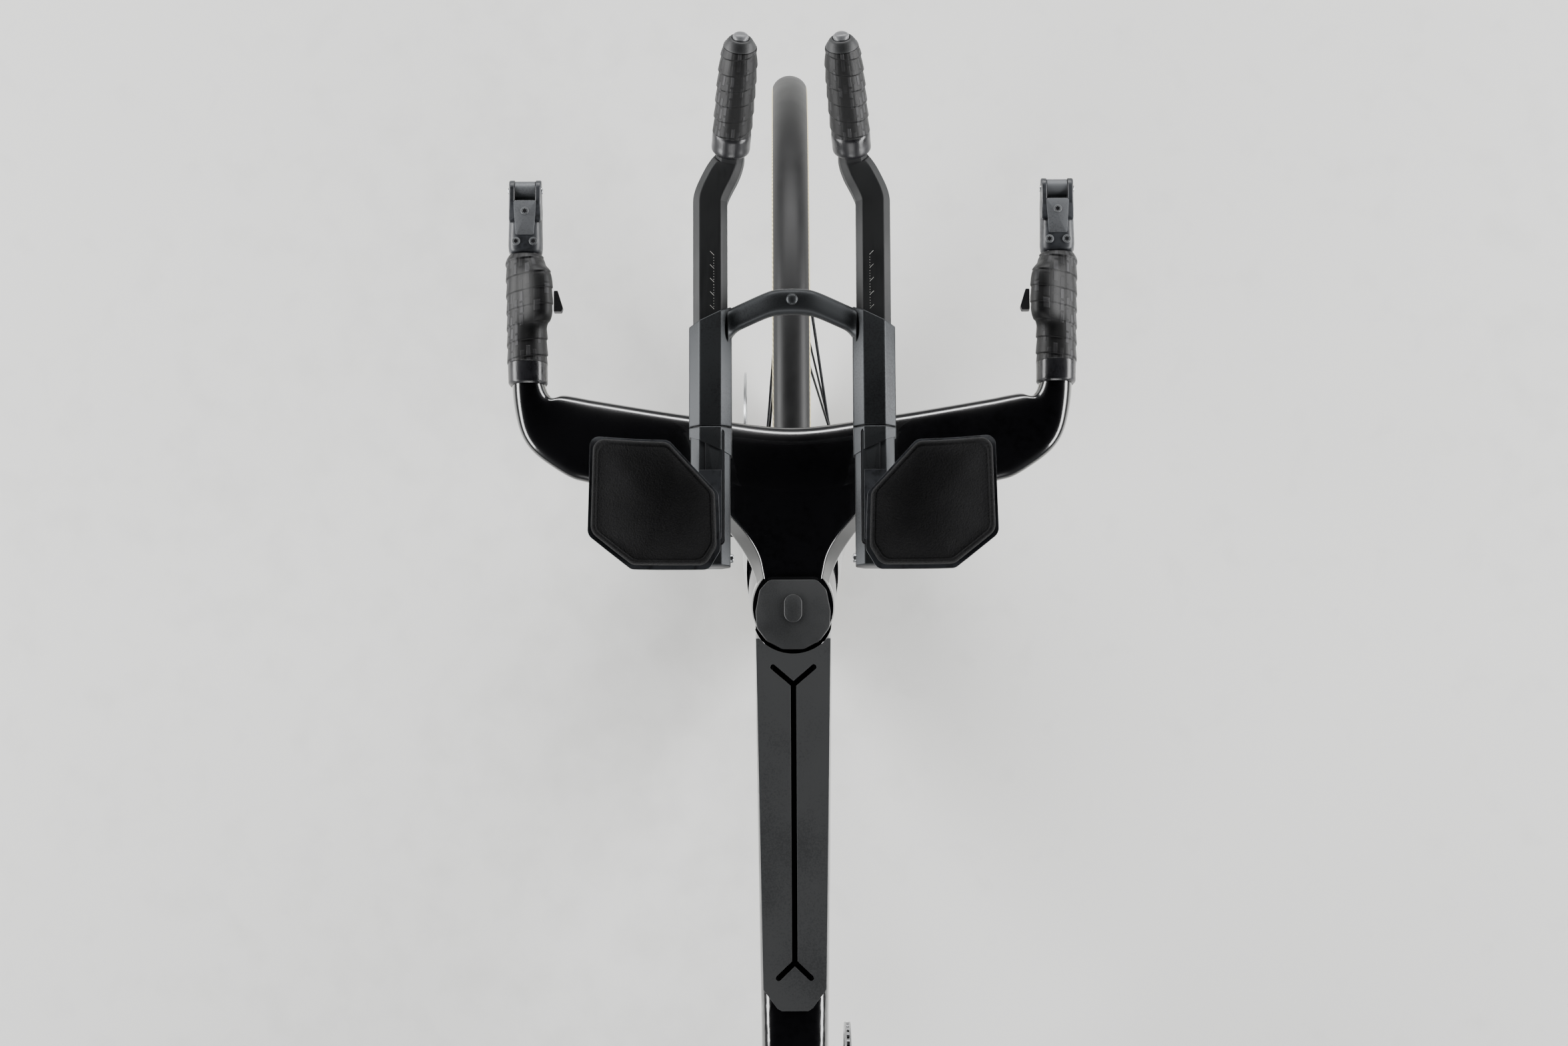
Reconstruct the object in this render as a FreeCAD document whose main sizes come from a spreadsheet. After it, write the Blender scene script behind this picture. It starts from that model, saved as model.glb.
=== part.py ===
import FreeCAD, Part
import Sketcher
import math
import os
import re
from FreeCAD import Placement, Rotation, Vector

# A time trial bike: +X forward, +Y to the rider's left, +Z up, origin on the ground midway between the axles.

# Driving dimensions in millimetres and degrees
sizes = {
    # fits
    "running_gap": 0.05,
    "fit_gap": 0.1,
    "slide_gap": 0.2,
    "body_gap": 0.6,
    # geometry of the bike
    "bead_radius": 311,
    "tyre_width": 28,
    "chainstay_length": 410,
    "front_centre": 604,
    "bracket_drop": 70,
    "head_angle": 73,
    "fork_rake": 45,
    "seat_angle": 80,
    "crown_clearance": 24,
    "head_length": 84,
    "deck_rise": 34,
    # wheels
    "tyre_casing": 2.2,
    "rim_hook": 6,
    "rim_depth": 60,
    "rim_width": 28,
    "rim_wall": 1.6,
    "spoke_radius": 1,
    "spoke_count": 20,
    "axle_radius": 6,
    "axle_bore": 3.5,
    "axle_head_radius": 9,
    "axle_head_thickness": 3,
    "fork_spacing": 100,
    "rear_spacing": 142,
    "dropout_thickness": 8,
    "hub_end_radius": 9.5,
    "hub_shell_radius": 12,
    "flange_radius": 22,
    "flange_thickness": 4,
    "left_flange": 22,
    "right_flange": 37,
    "lock_radius": 17,
    "rotor_thickness": 1.8,
    "front_rotor_radius": 80,
    "front_rotor_offset": 40,
    "rear_rotor_radius": 70,
    "rear_rotor_offset": 52.2,
    "rotor_windows": 6,
    "rotor_vents": 24,
    "disc_left_bulge": 31,
    "disc_right_bulge": 19,
    "disc_wall": 1.6,
    "rear_hub_radius": 17,
    # frame tubes
    "top_tube_width_front": 57.5,
    "top_tube_width_rear": 46,
    "top_tube_depth": 62,
    "head_tube_length": 84,
    "head_tube_width": 52,
    "down_tube_width": 50,
    "down_tube_depth": 76,
    "seat_tube_width": 42,
    "stay_clearance": 6,
    "bracket_width": 86,
    "bracket_radius": 29,
    "recess_radius": 34,
    "bearing_radius": 20.9,
    "bearing_width": 7,
    "steerer_radius": 14.3,
    "steerer_bore": 11,
    "spindle_radius": 14.5,
    "spindle_bearing_radius": 23,
    "boss_spacing": 64,
    "boss_radius": 2.5,
    "boss_depth": 12,
    # storage
    "cover_thickness": 4,
    "cover_length": 275,
    "cover_width_front": 55.7,
    "cover_width_rear": 46.3,
    "slit_width": 4.2,
    "tray_width": 34,
    "tray_depth": 36,
    "tray_wall": 1.5,
    # fork
    "fork_blade_chord": 58,
    "fork_blade_thickness": 16,
    # stem and base bar
    "stem_radius": 31,
    "stem_cap_length": 54.6,
    "stem_cap_thickness": 5,
    "plug_width": 13.4,
    "plug_length": 21,
    "bar_chord": 60,
    "bar_thickness": 26,
    "bar_drop": 1,
    "bar_reach": 107,
    "bar_half_width": 198,
    "grip_width": 24,
    "grip_depth": 29,
    "grip_length": 100,
    "grip_rise": 11,
    "tape_thickness": 3,
    "band_length": 17,
    # brake levers
    "brake_length": 58,
    "brake_width": 26,
    "brake_height": 27,
    "brake_slot": 16,
    "lever_width": 15,
    "lever_drop": 62,
    "lever_reach": 88,
    "lever_pin_radius": 3,
    "cover_screw_radius": 3.3,
    "paddle_length": 16,
    "paddle_height": 8,
    "paddle_travel": 2,
    # arm rails, clamp and extensions
    "rail_spacing": 118.6,
    "rail_setback": 91,
    "rail_stack": 106,
    "rail_length": 101,
    "rail_width": 28.6,
    "rail_depth": 24,
    "rail_flat": 17,
    "sleeve_width": 31,
    "sleeve_length": 89,
    "sleeve_skew": 14,
    "extension_width": 25,
    "extension_depth": 21.6,
    "extension_tail": 40,
    "extension_straight": 167,
    "bend_run": 33,
    "bend_inset": 14.6,
    "bend_rise": 10,
    "bridge_width": 18,
    "bridge_rise": 13,
    "bridge_plug_radius": 4,
    "grip_angle": 44,
    "tip_length": 90,
    "tip_radius": 11.1,
    "tip_spacing": 73,
    "tape_end_radius": 12.7,
    "tape_start_radius": 14.6,
    "tip_band_length": 14,
    "cap_length": 8,
    "cap_front_radius": 8.2,
    "button_radius": 6,
    "button_height": 5,
    "button_travel": 2,
    # arm pads
    "pad_width": 90,
    "pad_length": 90,
    "pad_inner": 54.5,
    "pad_thickness": 11,
    "cup_thickness": 2.5,
    "cup_margin": 2.5,
    "cup_rise": 18,
    "cup_stand": 4,
    # seat
    "post_insert": 175,
    "post_chord": 54,
    "post_width": 25,
    "wedge_size": 14,
    "saddle_length": 245,
    "saddle_width": 132,
    "saddle_nose": 52,
    "saddle_rise": 184,
    "saddle_setback": 50,
    "saddle_foam": 22,
    "saddle_rail_radius": 3.5,
    "saddle_rail_spacing": 44,
    # drivetrain
    "chain_pitch": 12.7,
    "chain_line": 47,
    "ring_teeth": 54,
    "cog_teeth": 16,
    "upper_teeth": 12,
    "lower_teeth": 14,
    "cog_step": 3.65,
    "cog_thickness": 1.6,
    "plate_height": 8.4,
    "plate_thickness": 1.5,
    "roller_radius": 3.8,
    "crank_length": 170,
    "crank_thickness": 14,
    "crank_inner_face": 56,
    "cage_length": 88,
    "cage_angle": 65,
    "pedal_width": 58,
    "pedal_length": 72,
    "pedal_thickness": 17,
    "pedal_pin_radius": 5,
}

doc = FreeCAD.newDocument("time_trial_bike")
sheet = doc.addObject("Spreadsheet::Sheet", "Sizes")
for row, (alias, value) in enumerate(sizes.items(), 1):
    sheet.set(f"A{row}", alias)
    sheet.set(f"B{row}", str(value))
    sheet.setAlias(f"B{row}", alias)
doc.recompute()


class Reader:
    def __getattr__(self, alias):
        return float(sheet.get(alias))


d = Reader()
X = Vector(1, 0, 0)
Y = Vector(0, 1, 0)
Z = Vector(0, 0, 1)
nodes = {}


# Feature helpers
def bound(text):
    def prefixed(match):
        word = match.group()
        return "Sizes." + word if word in sizes else word
    return re.sub(r"[a-z_][a-z0-9_]*", prefixed, str(text))


def node(label, feature):
    feature.Label = label
    nodes[label] = feature
    return feature


def along(at, direction):
    return Placement(at, Rotation(Z, direction))


def cylinder(name, radius, height, at, direction=Y):
    feature = doc.addObject("Part::Cylinder", name)
    feature.setExpression("Radius", bound(radius))
    feature.setExpression("Height", bound(height))
    feature.Placement = along(at, direction)
    return feature


def block(name, length, width, height, corner, rotation=Rotation()):
    feature = doc.addObject("Part::Box", name)
    feature.setExpression("Length", bound(length))
    feature.setExpression("Width", bound(width))
    feature.setExpression("Height", bound(height))
    feature.Placement = Placement(corner, rotation)
    return feature


def shaped(name, shape):
    feature = doc.addObject("Part::Feature", name)
    feature.Shape = shape
    return feature


def fuse(name, *parts):
    feature = doc.addObject("Part::MultiFuse", name)
    feature.Shapes = list(parts)
    feature.Refine = False
    return feature


def cut(name, base, *tools):
    feature = doc.addObject("Part::Cut", name)
    feature.Base = base
    feature.Tool = tools[0] if len(tools) == 1 else group(name + "_tools", *tools)
    feature.Refine = False
    return feature


def common(name, first, second):
    feature = doc.addObject("Part::MultiCommon", name)
    feature.Shapes = [first, second]
    feature.Refine = False
    return feature


def group(name, *parts):
    feature = doc.addObject("Part::Compound", name)
    feature.Links = list(parts)
    return feature


def plane(body, role):
    return next(item for item in body.Origin.OriginFeatures if item.Role == role)


def sketch(body, name, role):
    feature = body.newObject("Sketcher::SketchObject", name)
    feature.AttachmentSupport = [(plane(body, role), "")]
    feature.MapMode = "FlatFace"
    return feature


# A closed outline whose corners are held by the expressions given for them
def outline(feature, points):
    count = len(points)
    start = feature.GeometryCount
    guess = [Vector(math.cos(math.tau * i / count), math.sin(math.tau * i / count), 0) for i in range(count)]
    for i in range(count):
        feature.addGeometry(Part.LineSegment(guess[i], guess[(i + 1) % count]), False)
    for i in range(count):
        feature.addConstraint(Sketcher.Constraint("Coincident", start + i, 2, start + (i + 1) % count, 1))
    for i, (across, up) in enumerate(points):
        for kind, text, first in (("DistanceX", across, guess[i].x), ("DistanceY", up, guess[i].y)):
            index = feature.addConstraint(Sketcher.Constraint(kind, -1, 1, start + i, 1, first))
            feature.setExpression(f"Constraints[{index}]", bound(text))


def circle(feature, across, up, radius):
    geometry = feature.addGeometry(Part.Circle(Vector(1, 1, 0), Z, 1), False)
    for kind, text in (("DistanceX", across), ("DistanceY", up)):
        index = feature.addConstraint(Sketcher.Constraint(kind, -1, 1, geometry, 3, 1))
        feature.setExpression(f"Constraints[{index}]", bound(text))
    index = feature.addConstraint(Sketcher.Constraint("Radius", geometry, 1))
    feature.setExpression(f"Constraints[{index}]", bound(radius))


# A turned piece: profile corners are (radius, distance along the axis)
def turned(name, profile, at, direction=Y):
    body = doc.addObject("PartDesign::Body", name)
    section = sketch(body, name + "_profile", "XZ_Plane")
    outline(section, profile)
    turn = body.newObject("PartDesign::Revolution", name + "_turn")
    turn.Profile = section
    turn.ReferenceAxis = (section, ["V_Axis"])
    turn.Angle = 360
    body.Placement = along(at, direction)
    return body


# A flat piece padded both ways from its middle plane, with round holes (across, up, radius)
def flat(name, corners, holes, thickness, placement):
    body = doc.addObject("PartDesign::Body", name)
    section = sketch(body, name + "_outline", "XY_Plane")
    outline(section, corners)
    for hole in holes:
        circle(section, *hole)
    pad = body.newObject("PartDesign::Pad", name + "_pad")
    pad.Profile = section
    pad.Midplane = True
    pad.setExpression("Length", bound(thickness))
    body.Placement = placement
    return body


# Shape helpers
def spline_wire(points):
    curve = Part.BSplineCurve()
    curve.interpolate(points, PeriodicFlag=True)
    return Part.Wire([curve.toShape()])


def power(value, exponent):
    return math.copysign(abs(value) ** exponent, value)


# A superellipse section: half sizes a along u and b along v, squareness from the exponent
def section_points(centre, u, v, a, b, exponent=2.0, count=16):
    points = []
    for i in range(count):
        angle = math.tau * (i + 0.5) / count
        points.append(centre + u * (a * power(math.cos(angle), 2 / exponent))
                      + v * (b * power(math.sin(angle), 2 / exponent)))
    return points


def section(*values, **options):
    return spline_wire(section_points(*values, **options))


# Rings for a skin have more points, which keeps its seam flat
def ring_points(*values):
    return section_points(*values, count=48)


# A closed skin through evenly spaced rings along a bent path, capped at both ends
def skin(rings):
    surface = Part.BSplineSurface()
    surface.interpolate([points + points[:1] for points in rings])
    first, last = surface.bounds()[:2]
    caps = [Part.Face(Part.Wire([surface.uIso(at).toShape()])) for at in (first, last)]
    shell = Part.Shell([surface.toShape()] + caps)
    shell.sewShape()
    body = Part.Solid(shell)
    return body if body.Volume > 0 else Part.Solid(shell.reversed())


def loft(wires, ruled=False):
    return Part.makeLoft(wires, True, ruled, False, 3)


# A closed outline of straight sides with every corner rounded
def rounded(points, radius):
    edges = []
    count = len(points)
    arcs = []
    for i in range(count):
        before, here, after = points[i - 1], points[i], points[(i + 1) % count]
        back = (before - here).normalize()
        ahead = (after - here).normalize()
        half = back.getAngle(ahead) / 2
        reach = radius / math.tan(half)
        bisector = (back + ahead).normalize()
        middle = here + bisector * (radius / math.sin(half) - radius)
        arcs.append((here + back * reach, middle, here + ahead * reach))
    for i in range(count):
        start, middle, end = arcs[i]
        edges.append(Part.Arc(start, middle, end).toShape())
        edges.append(Part.LineSegment(end, arcs[(i + 1) % count][0]).toShape())
    return Part.Wire(edges)


def prism(wire, sweep):
    return Part.Face(wire).extrude(sweep)


def round_bar(at, direction, radius, length):
    return Part.makeCylinder(radius, length, at, direction)


def mirror(shape):
    return shape.mirror(Vector(0, 0, 0), Y)


# A tube of round section along points joined by arcs
def bent_rod(points, bend, radius):
    edges = []
    last = points[0]
    for i in range(1, len(points) - 1):
        here = points[i]
        back = (points[i - 1] - here).normalize()
        ahead = (points[i + 1] - here).normalize()
        half = back.getAngle(ahead) / 2
        reach = bend / math.tan(half)
        middle = here + (back + ahead).normalize() * (bend / math.sin(half) - bend)
        start, end = here + back * reach, here + ahead * reach
        edges.append(Part.LineSegment(last, start).toShape())
        edges.append(Part.Arc(start, middle, end).toShape())
        last = end
    edges.append(Part.LineSegment(last, points[-1]).toShape())
    path = Part.Wire(edges)
    ring = Part.Wire([Part.Circle(points[0], points[1] - points[0], radius).toShape()])
    return path.makePipeShell([ring], True, False)


# Places on the bike
wheel_radius = d.bead_radius + d.tyre_width
rear_run = math.sqrt(d.chainstay_length ** 2 - d.bracket_drop ** 2)
front_run = math.sqrt(d.front_centre ** 2 - d.bracket_drop ** 2)
half_base = (rear_run + front_run) / 2
front = Vector(half_base, 0, wheel_radius)
rear = Vector(-half_base, 0, wheel_radius)
bracket = Vector(rear.x + rear_run, 0, wheel_radius - d.bracket_drop)
lean = math.radians(d.head_angle)
steer_up = Vector(-math.cos(lean), 0, math.sin(lean))
steer_ahead = Vector(math.sin(lean), 0, math.cos(lean))
steer_foot = front - steer_ahead * d.fork_rake


def steer_at(height):
    return steer_foot + steer_up * ((height - steer_foot.z) / steer_up.z)


crown = steer_at(2 * wheel_radius + d.crown_clearance)
head_top = steer_at(crown.z + d.head_length)
deck_axis = steer_at(head_top.z + d.deck_rise)
deck_height = deck_axis.z
bar_height = deck_height - d.bar_drop
grip_height = bar_height + d.grip_rise
rail_height = bar_height + d.rail_stack
saddle_top = deck_height + d.saddle_rise
seat_lean = math.radians(d.seat_angle)
seat_up = Vector(-math.cos(seat_lean), 0, math.sin(seat_lean))
seat_ahead = Vector(math.sin(seat_lean), 0, math.cos(seat_lean))


def seat_at(height):
    return bracket + seat_up * ((height - bracket.z) / seat_up.z)


# Tyres
def tyre(name, hub):
    def ring(part, tube):
        feature = doc.addObject("Part::Torus", name + part)
        feature.setExpression("Radius1", bound("bead_radius + tyre_width / 2"))
        feature.setExpression("Radius2", bound(tube))
        feature.Placement = along(hub, Y)
        return feature
    outer = ring("_outer", "tyre_width / 2")
    air = ring("_air", "tyre_width / 2 - tyre_casing")
    bed = cylinder(name + "_bed", "bead_radius + rim_hook + fit_gap", "tyre_width",
                   hub - Y * (d.tyre_width / 2))
    return node(name, cut(name, outer, air, bed))


tyre("front_tyre", front)
tyre("rear_tyre", rear)


# Front rim: a deep hollow section turned about the axle
def rim_section(edge, inner, half):
    depth = edge - inner
    stations = ((0, 0.96), (0.12, 1.03), (0.35, 1.04), (0.62, 0.8), (0.85, 0.42), (0.96, 0.17))
    side = [(edge - depth * run, half * wide) for run, wide in stations]
    points = side + [(inner, 0)] + [(radius, -wide) for radius, wide in reversed(side)]
    curve = Part.BSplineCurve()
    curve.interpolate([front + Vector(radius, wide, 0) for radius, wide in points])
    ends = [curve.EndPoint, curve.StartPoint]
    return Part.Wire([curve.toShape(), Part.LineSegment(*ends).toShape()])


rim_edge = d.bead_radius + d.rim_hook
rim_inner = rim_edge - d.rim_depth
rim_outer = Part.Face(rim_section(rim_edge, rim_inner, d.rim_width / 2)).revolve(front, Y, 360)
rim_hollow = Part.Face(rim_section(rim_edge - 2 * d.rim_wall, rim_inner + 4 * d.rim_wall,
                                   d.rim_width / 2 - d.rim_wall)).revolve(front, Y, 360)
node("front_rim", shaped("front_rim", rim_outer.cut(rim_hollow)))

# Front hub, rotor seat on the left
node("front_hub", turned("front_hub", [
    ("axle_radius + running_gap", "-fork_spacing / 2 + body_gap"),
    ("hub_end_radius", "-fork_spacing / 2 + body_gap"),
    ("hub_end_radius", "-right_flange - flange_thickness"),
    ("flange_radius", "-right_flange - flange_thickness / 2"),
    ("flange_radius", "-right_flange + flange_thickness / 2"),
    ("hub_shell_radius", "-right_flange + 2 * flange_thickness"),
    ("hub_shell_radius", "left_flange - 2 * flange_thickness"),
    ("flange_radius", "left_flange - flange_thickness / 2"),
    ("flange_radius", "left_flange + flange_thickness / 2"),
    ("lock_radius + 3", "left_flange + flange_thickness"),
    ("lock_radius + 3", "front_rotor_offset - rotor_thickness / 2"),
    ("lock_radius", "front_rotor_offset - rotor_thickness / 2"),
    ("lock_radius", "front_rotor_offset + 3"),
    ("hub_end_radius", "front_rotor_offset + 3"),
    ("hub_end_radius", "fork_spacing / 2 - body_gap"),
    ("axle_radius + running_gap", "fork_spacing / 2 - body_gap"),
], front))

# Spokes: crossed pairs on each flange
spokes = []
count = int(d.spoke_count)
for i in range(count):
    left = i % 2
    turn = math.tau * i / count
    sweep = math.radians(48) * (1 if (i // 2) % 2 else -1)
    side = d.left_flange if left else -d.right_flange
    start = front + Vector(math.cos(turn + sweep), 0,
                           math.sin(turn + sweep)) * (d.flange_radius - 2) + Y * side
    end = front + Vector(math.cos(turn), 0, math.sin(turn)) * (rim_inner + 3) + Y * (2 if left else -2)
    spoke = cylinder(f"spoke_{i}", "spoke_radius", (end - start).Length, start, end - start)
    spokes.append(spoke)
node("front_spokes", group("front_spokes", *spokes))


# Brake rotors: a ring with windows between the arms and vents in the track
def rotor(name, radius, offset, hub):
    body = doc.addObject("PartDesign::Body", name)
    ring = sketch(body, name + "_ring", "XY_Plane")
    circle(ring, "0", "0", radius)
    circle(ring, "0", "0", "lock_radius + running_gap")
    pad = body.newObject("PartDesign::Pad", name + "_pad")
    pad.Profile = ring
    pad.Midplane = True
    pad.setExpression("Length", bound("rotor_thickness"))
    doc.recompute()

    def pattern(part, draw, occurrences):
        window = sketch(body, name + part, "XY_Plane")
        draw(window)
        pocket = body.newObject("PartDesign::Pocket", name + part + "_cut")
        pocket.Profile = window
        pocket.Type = "ThroughAll"
        pocket.Midplane = True
        doc.recompute()
        copies = body.newObject("PartDesign::PolarPattern", name + part + "_copies")
        copies.Originals = [pocket]
        copies.Axis = (window, ["N_Axis"])
        copies.Angle = 360
        copies.setExpression("Occurrences", bound(occurrences))
        body.Tip = copies
        doc.recompute()

    inner, outer = "(lock_radius + 8)", f"({radius} - 17)"
    turns = ((inner, -16), (outer, -23), (outer, 17), (inner, 10))
    pattern("_window", lambda drawn: outline(drawn, [(f"{reach} * cos({angle} deg)",
                                                      f"{reach} * sin({angle} deg)")
                                                     for reach, angle in turns]), "rotor_windows")
    pattern("_vent", lambda drawn: circle(drawn, f"{radius} - 8", "0", "2.6"), "rotor_vents")
    body.Placement = along(hub + Y * getattr(d, offset), Y)
    return node(name, body)


rotor("front_rotor", "front_rotor_radius", "front_rotor_offset", front)
rotor("rear_rotor", "rear_rotor_radius", "rear_rotor_offset", rear)


# Rear disc: two bulged skins closed at the rim, hollow between them
def disc_half(edge, half, bulge, shell, sign):
    ends = [(edge, 0), (edge, sign * half), (edge - 26, sign * (half + 0.8)), (shell, sign * bulge), (shell,
                                                                                                      0)]
    points = [rear + Vector(radius, wide, 0) for radius, wide in ends]
    middle = (points[2] + points[3]) * 0.5 + Y * (sign * 0.05 * abs(bulge - half))
    edges = [Part.LineSegment(points[i], points[(i + 1) % 5]).toShape() for i in (0, 1, 3, 4)]
    edges.insert(2, Part.Arc(points[2], middle, points[3]).toShape())
    return Part.Face(Part.Wire(edges)).revolve(rear, Y, 360)


def disc(edge, inset, shell):
    half = d.rim_width / 2 - inset
    left = disc_half(edge, half, d.disc_left_bulge - inset, shell, 1)
    right = disc_half(edge, half, d.disc_right_bulge - inset, shell, -1)
    return left.fuse(right).removeSplitter()


disc_shell = d.rear_hub_radius + d.fit_gap
node("rear_disc", shaped("rear_disc", disc(rim_edge, 0, disc_shell).cut(
    disc(rim_edge - 2 * d.rim_wall, d.disc_wall, disc_shell + 3))))

node("rear_hub", turned("rear_hub", [
    ("axle_radius + running_gap", "-disc_right_bulge - 1"),
    ("rear_hub_radius + 4", "-disc_right_bulge - 1"),
    ("rear_hub_radius + 4", "-disc_right_bulge - fit_gap"),
    ("rear_hub_radius", "-disc_right_bulge - fit_gap"),
    ("rear_hub_radius", "disc_left_bulge + fit_gap"),
    ("rear_hub_radius + 3", "disc_left_bulge + fit_gap"),
    ("rear_hub_radius + 3", "rear_rotor_offset - rotor_thickness / 2"),
    ("lock_radius", "rear_rotor_offset - rotor_thickness / 2"),
    ("lock_radius", "rear_rotor_offset + 3"),
    ("hub_end_radius", "rear_rotor_offset + 3"),
    ("hub_end_radius", "rear_spacing / 2 - body_gap"),
    ("axle_radius + running_gap", "rear_spacing / 2 - body_gap"),
], rear))


# Thru axles, hollow, head on the left
def thru_axle(name, spacing, hub):
    length = f"{spacing} + 2 * dropout_thickness"
    half = getattr(d, spacing) / 2 + d.dropout_thickness
    body = turned(name, [
        ("axle_bore", f"-({length})"),
        ("axle_radius", f"-({length})"),
        ("axle_radius", "0"),
        ("axle_head_radius", "0"),
        ("axle_head_radius", "axle_head_thickness"),
        ("axle_bore", "axle_head_thickness"),
    ], hub + Y * half)
    return node(name, body)


thru_axle("front_axle", "fork_spacing", front)
thru_axle("rear_axle", "rear_spacing", rear)

doc.recompute()
print("wheels built:", len(nodes), "nodes")

# Main frame: tubes lofted through superellipse sections and joined
deck = deck_height - d.cover_thickness
seat_top = seat_at(deck)


def level_section(x, width, top, bottom, exponent=4.0):
    centre = Vector(x, 0, (top + bottom) / 2)
    return section(centre, Y, Z, width / 2, (top - bottom) / 2, exponent)


head_reach = d.head_tube_length / 2
head_shift = steer_ahead * (-0.3 * head_reach)
head_tube = loft([
    section(crown + steer_up * d.body_gap + head_shift, steer_ahead, Y, head_reach,
            d.head_tube_width / 2 - 1, 2.6),
    section((crown + head_top) * 0.5 + head_shift, steer_ahead, Y, head_reach + 1, d.head_tube_width / 2, 2.6),
    section(head_top + head_shift, steer_ahead, Y, head_reach, d.head_tube_width / 2 + 1, 2.6),
])
tube_bottom = deck - d.top_tube_depth
top_tube = loft([
    level_section(deck_axis.x + 4, d.top_tube_width_front, deck, tube_bottom - 6),
    level_section(deck_axis.x - 70, d.top_tube_width_front - 1, deck, tube_bottom),
    level_section((deck_axis.x + seat_top.x) / 2, (d.top_tube_width_front + d.top_tube_width_rear) / 2, deck,
                  tube_bottom + 8),
    level_section(seat_top.x + 30, d.top_tube_width_rear, deck, tube_bottom),
])

# The down tube's front face starts behind the sweep of the fork crown
down_start = crown + Vector(-92, 0, 43)
down_line = (bracket - down_start).normalize()
down_across = Vector(-down_line.z, 0, down_line.x)
down_tube = loft([
    section(down_start, down_across, Y, d.down_tube_depth / 2 + 6, d.down_tube_width / 2 - 2, 2.6),
    section(down_start * 0.5 + bracket * 0.5, down_across, Y, d.down_tube_depth / 2, d.down_tube_width / 2,
            2.6),
    section(bracket + down_line * 4, down_across, Y, d.down_tube_depth / 2 - 8, d.down_tube_width / 2 + 2,
            2.6),
])

wheel_hug = wheel_radius + d.stay_clearance
seat_wide = d.seat_tube_width / 2
seat_tube = loft([
    section(bracket + Vector(-2, 0, -4), X, Y, 32, seat_wide + 4, 2.4),
    section(Vector(seat_at(400).x + 4, 0, 400), X, Y, 44, seat_wide - 2, 2.4),
    section(Vector(seat_at(500).x - 10, 0, 500), X, Y, 54, seat_wide - 2, 2.4),
    section(Vector(seat_at(580).x - 6, 0, 580), X, Y, 48, seat_wide - 2, 2.4),
    section(Vector(seat_at(690).x, 0, 690), X, Y, 39, seat_wide, 2.4),
    section(Vector(seat_top.x - 2, 0, deck + 4), X, Y, 44, d.top_tube_width_rear / 2, 2.6),
])

dropout_mid = d.rear_spacing / 2 + d.dropout_thickness / 2
stay_inner = d.tyre_width / 2 + d.stay_clearance
chain_stay = loft([
    section(Vector(bracket.x - 14, 22, bracket.z + 2), Y, Z, 12, 25, 2.4),
    section(Vector(bracket.x - 72, stay_inner + 11, bracket.z + 6), Y, Z, 9.5, 20, 2.4),
    section(Vector(bracket.x - 118, stay_inner + 11, bracket.z + 14), Y, Z, 9, 17, 2.4),
    section(Vector(bracket.x - 240, dropout_mid - 21, bracket.z + 40), Y, Z, 7.5, 13.5, 2.4),
    section(Vector(rear.x + 62, dropout_mid - 1, rear.z - 9), Y, Z, 4.6, 12, 2.4),
    section(Vector(rear.x - 4, dropout_mid, rear.z), Y, Z, d.dropout_thickness * 0.36, 11, 2.4),
])
stay_root = Vector(seat_at(590).x - 24, 11, 590)
seat_stay = loft([
    section(stay_root, Y, Z, 8, 20, 2.4),
    section(stay_root + Vector(-58, stay_inner - 2, -44), Y, Z, 6.5, 16, 2.4),
    section(Vector(rear.x + 150, dropout_mid - 28, rear.z + 112), Y, Z, 5.5, 13, 2.4),
    section(Vector(rear.x + 24, dropout_mid - 0.6, rear.z + 20), Y, Z, 3, 12, 2.4),
    section(Vector(rear.x - 6, dropout_mid, rear.z), Y, Z, d.dropout_thickness * 0.3, 9, 2.4),
])
dropout = round_bar(rear + Y * (d.rear_spacing / 2), Y, 15, d.dropout_thickness)
bracket_shell = round_bar(bracket - Y * (d.bracket_width / 2), Y, d.bracket_radius, d.bracket_width)
tubes = [top_tube, down_tube, seat_tube, bracket_shell, chain_stay, mirror(chain_stay), seat_stay,
         mirror(seat_stay),
         dropout, mirror(dropout)]
frame_shape = head_tube.multiFuse(tubes)

# Seatpost section and the pocket it slides in
saddle_rail_height = saddle_top - 44
post_top = seat_at(saddle_rail_height - 19)
post_foot = seat_top - seat_up * d.post_insert


def post_section(at, grow=0.0):
    return section(at, seat_ahead, Y, d.post_chord / 2 + grow, d.post_width / 2 + grow, 2.4)


pocket_foot = post_foot - seat_up * 45
seat_pocket = loft([post_section(pocket_foot, d.slide_gap), post_section(seat_top + seat_up * 40,
                                                                         d.slide_gap)])

# Cuts: wheel room, axle, steerer and bearing seats, stem recess, bottom bracket, storage, bosses
cover_rear = deck_axis.x - d.recess_radius - d.cover_length + 11
tray_front = deck_axis.x - d.recess_radius - 18
tray_length = tray_front - cover_rear - 34
tray_room = Part.makeBox(tray_length + 2 * d.fit_gap, d.tray_width + 2 * d.fit_gap, d.tray_depth + 20,
                         Vector(tray_front - tray_length - d.fit_gap, -d.tray_width / 2 - d.fit_gap,
                                deck - d.tray_depth - d.fit_gap))
boss_out = down_across * -1
boss_at = down_start * 0.46 + bracket * 0.54 + boss_out * (d.down_tube_depth / 2)
boss_feet = [boss_at + down_line * (offset * d.boss_spacing / 2) for offset in (-1, 1)]
wedge_at = seat_top + seat_ahead * (d.post_chord / 2 + d.slide_gap)
wedge_room = Part.makeBox(d.wedge_size, d.wedge_size, 60)
wedge_corner = wedge_at + seat_ahead - Y * (d.wedge_size / 2) - seat_up * 24
wedge_room.Placement = Placement(wedge_corner, Rotation(Z, seat_up))
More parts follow.
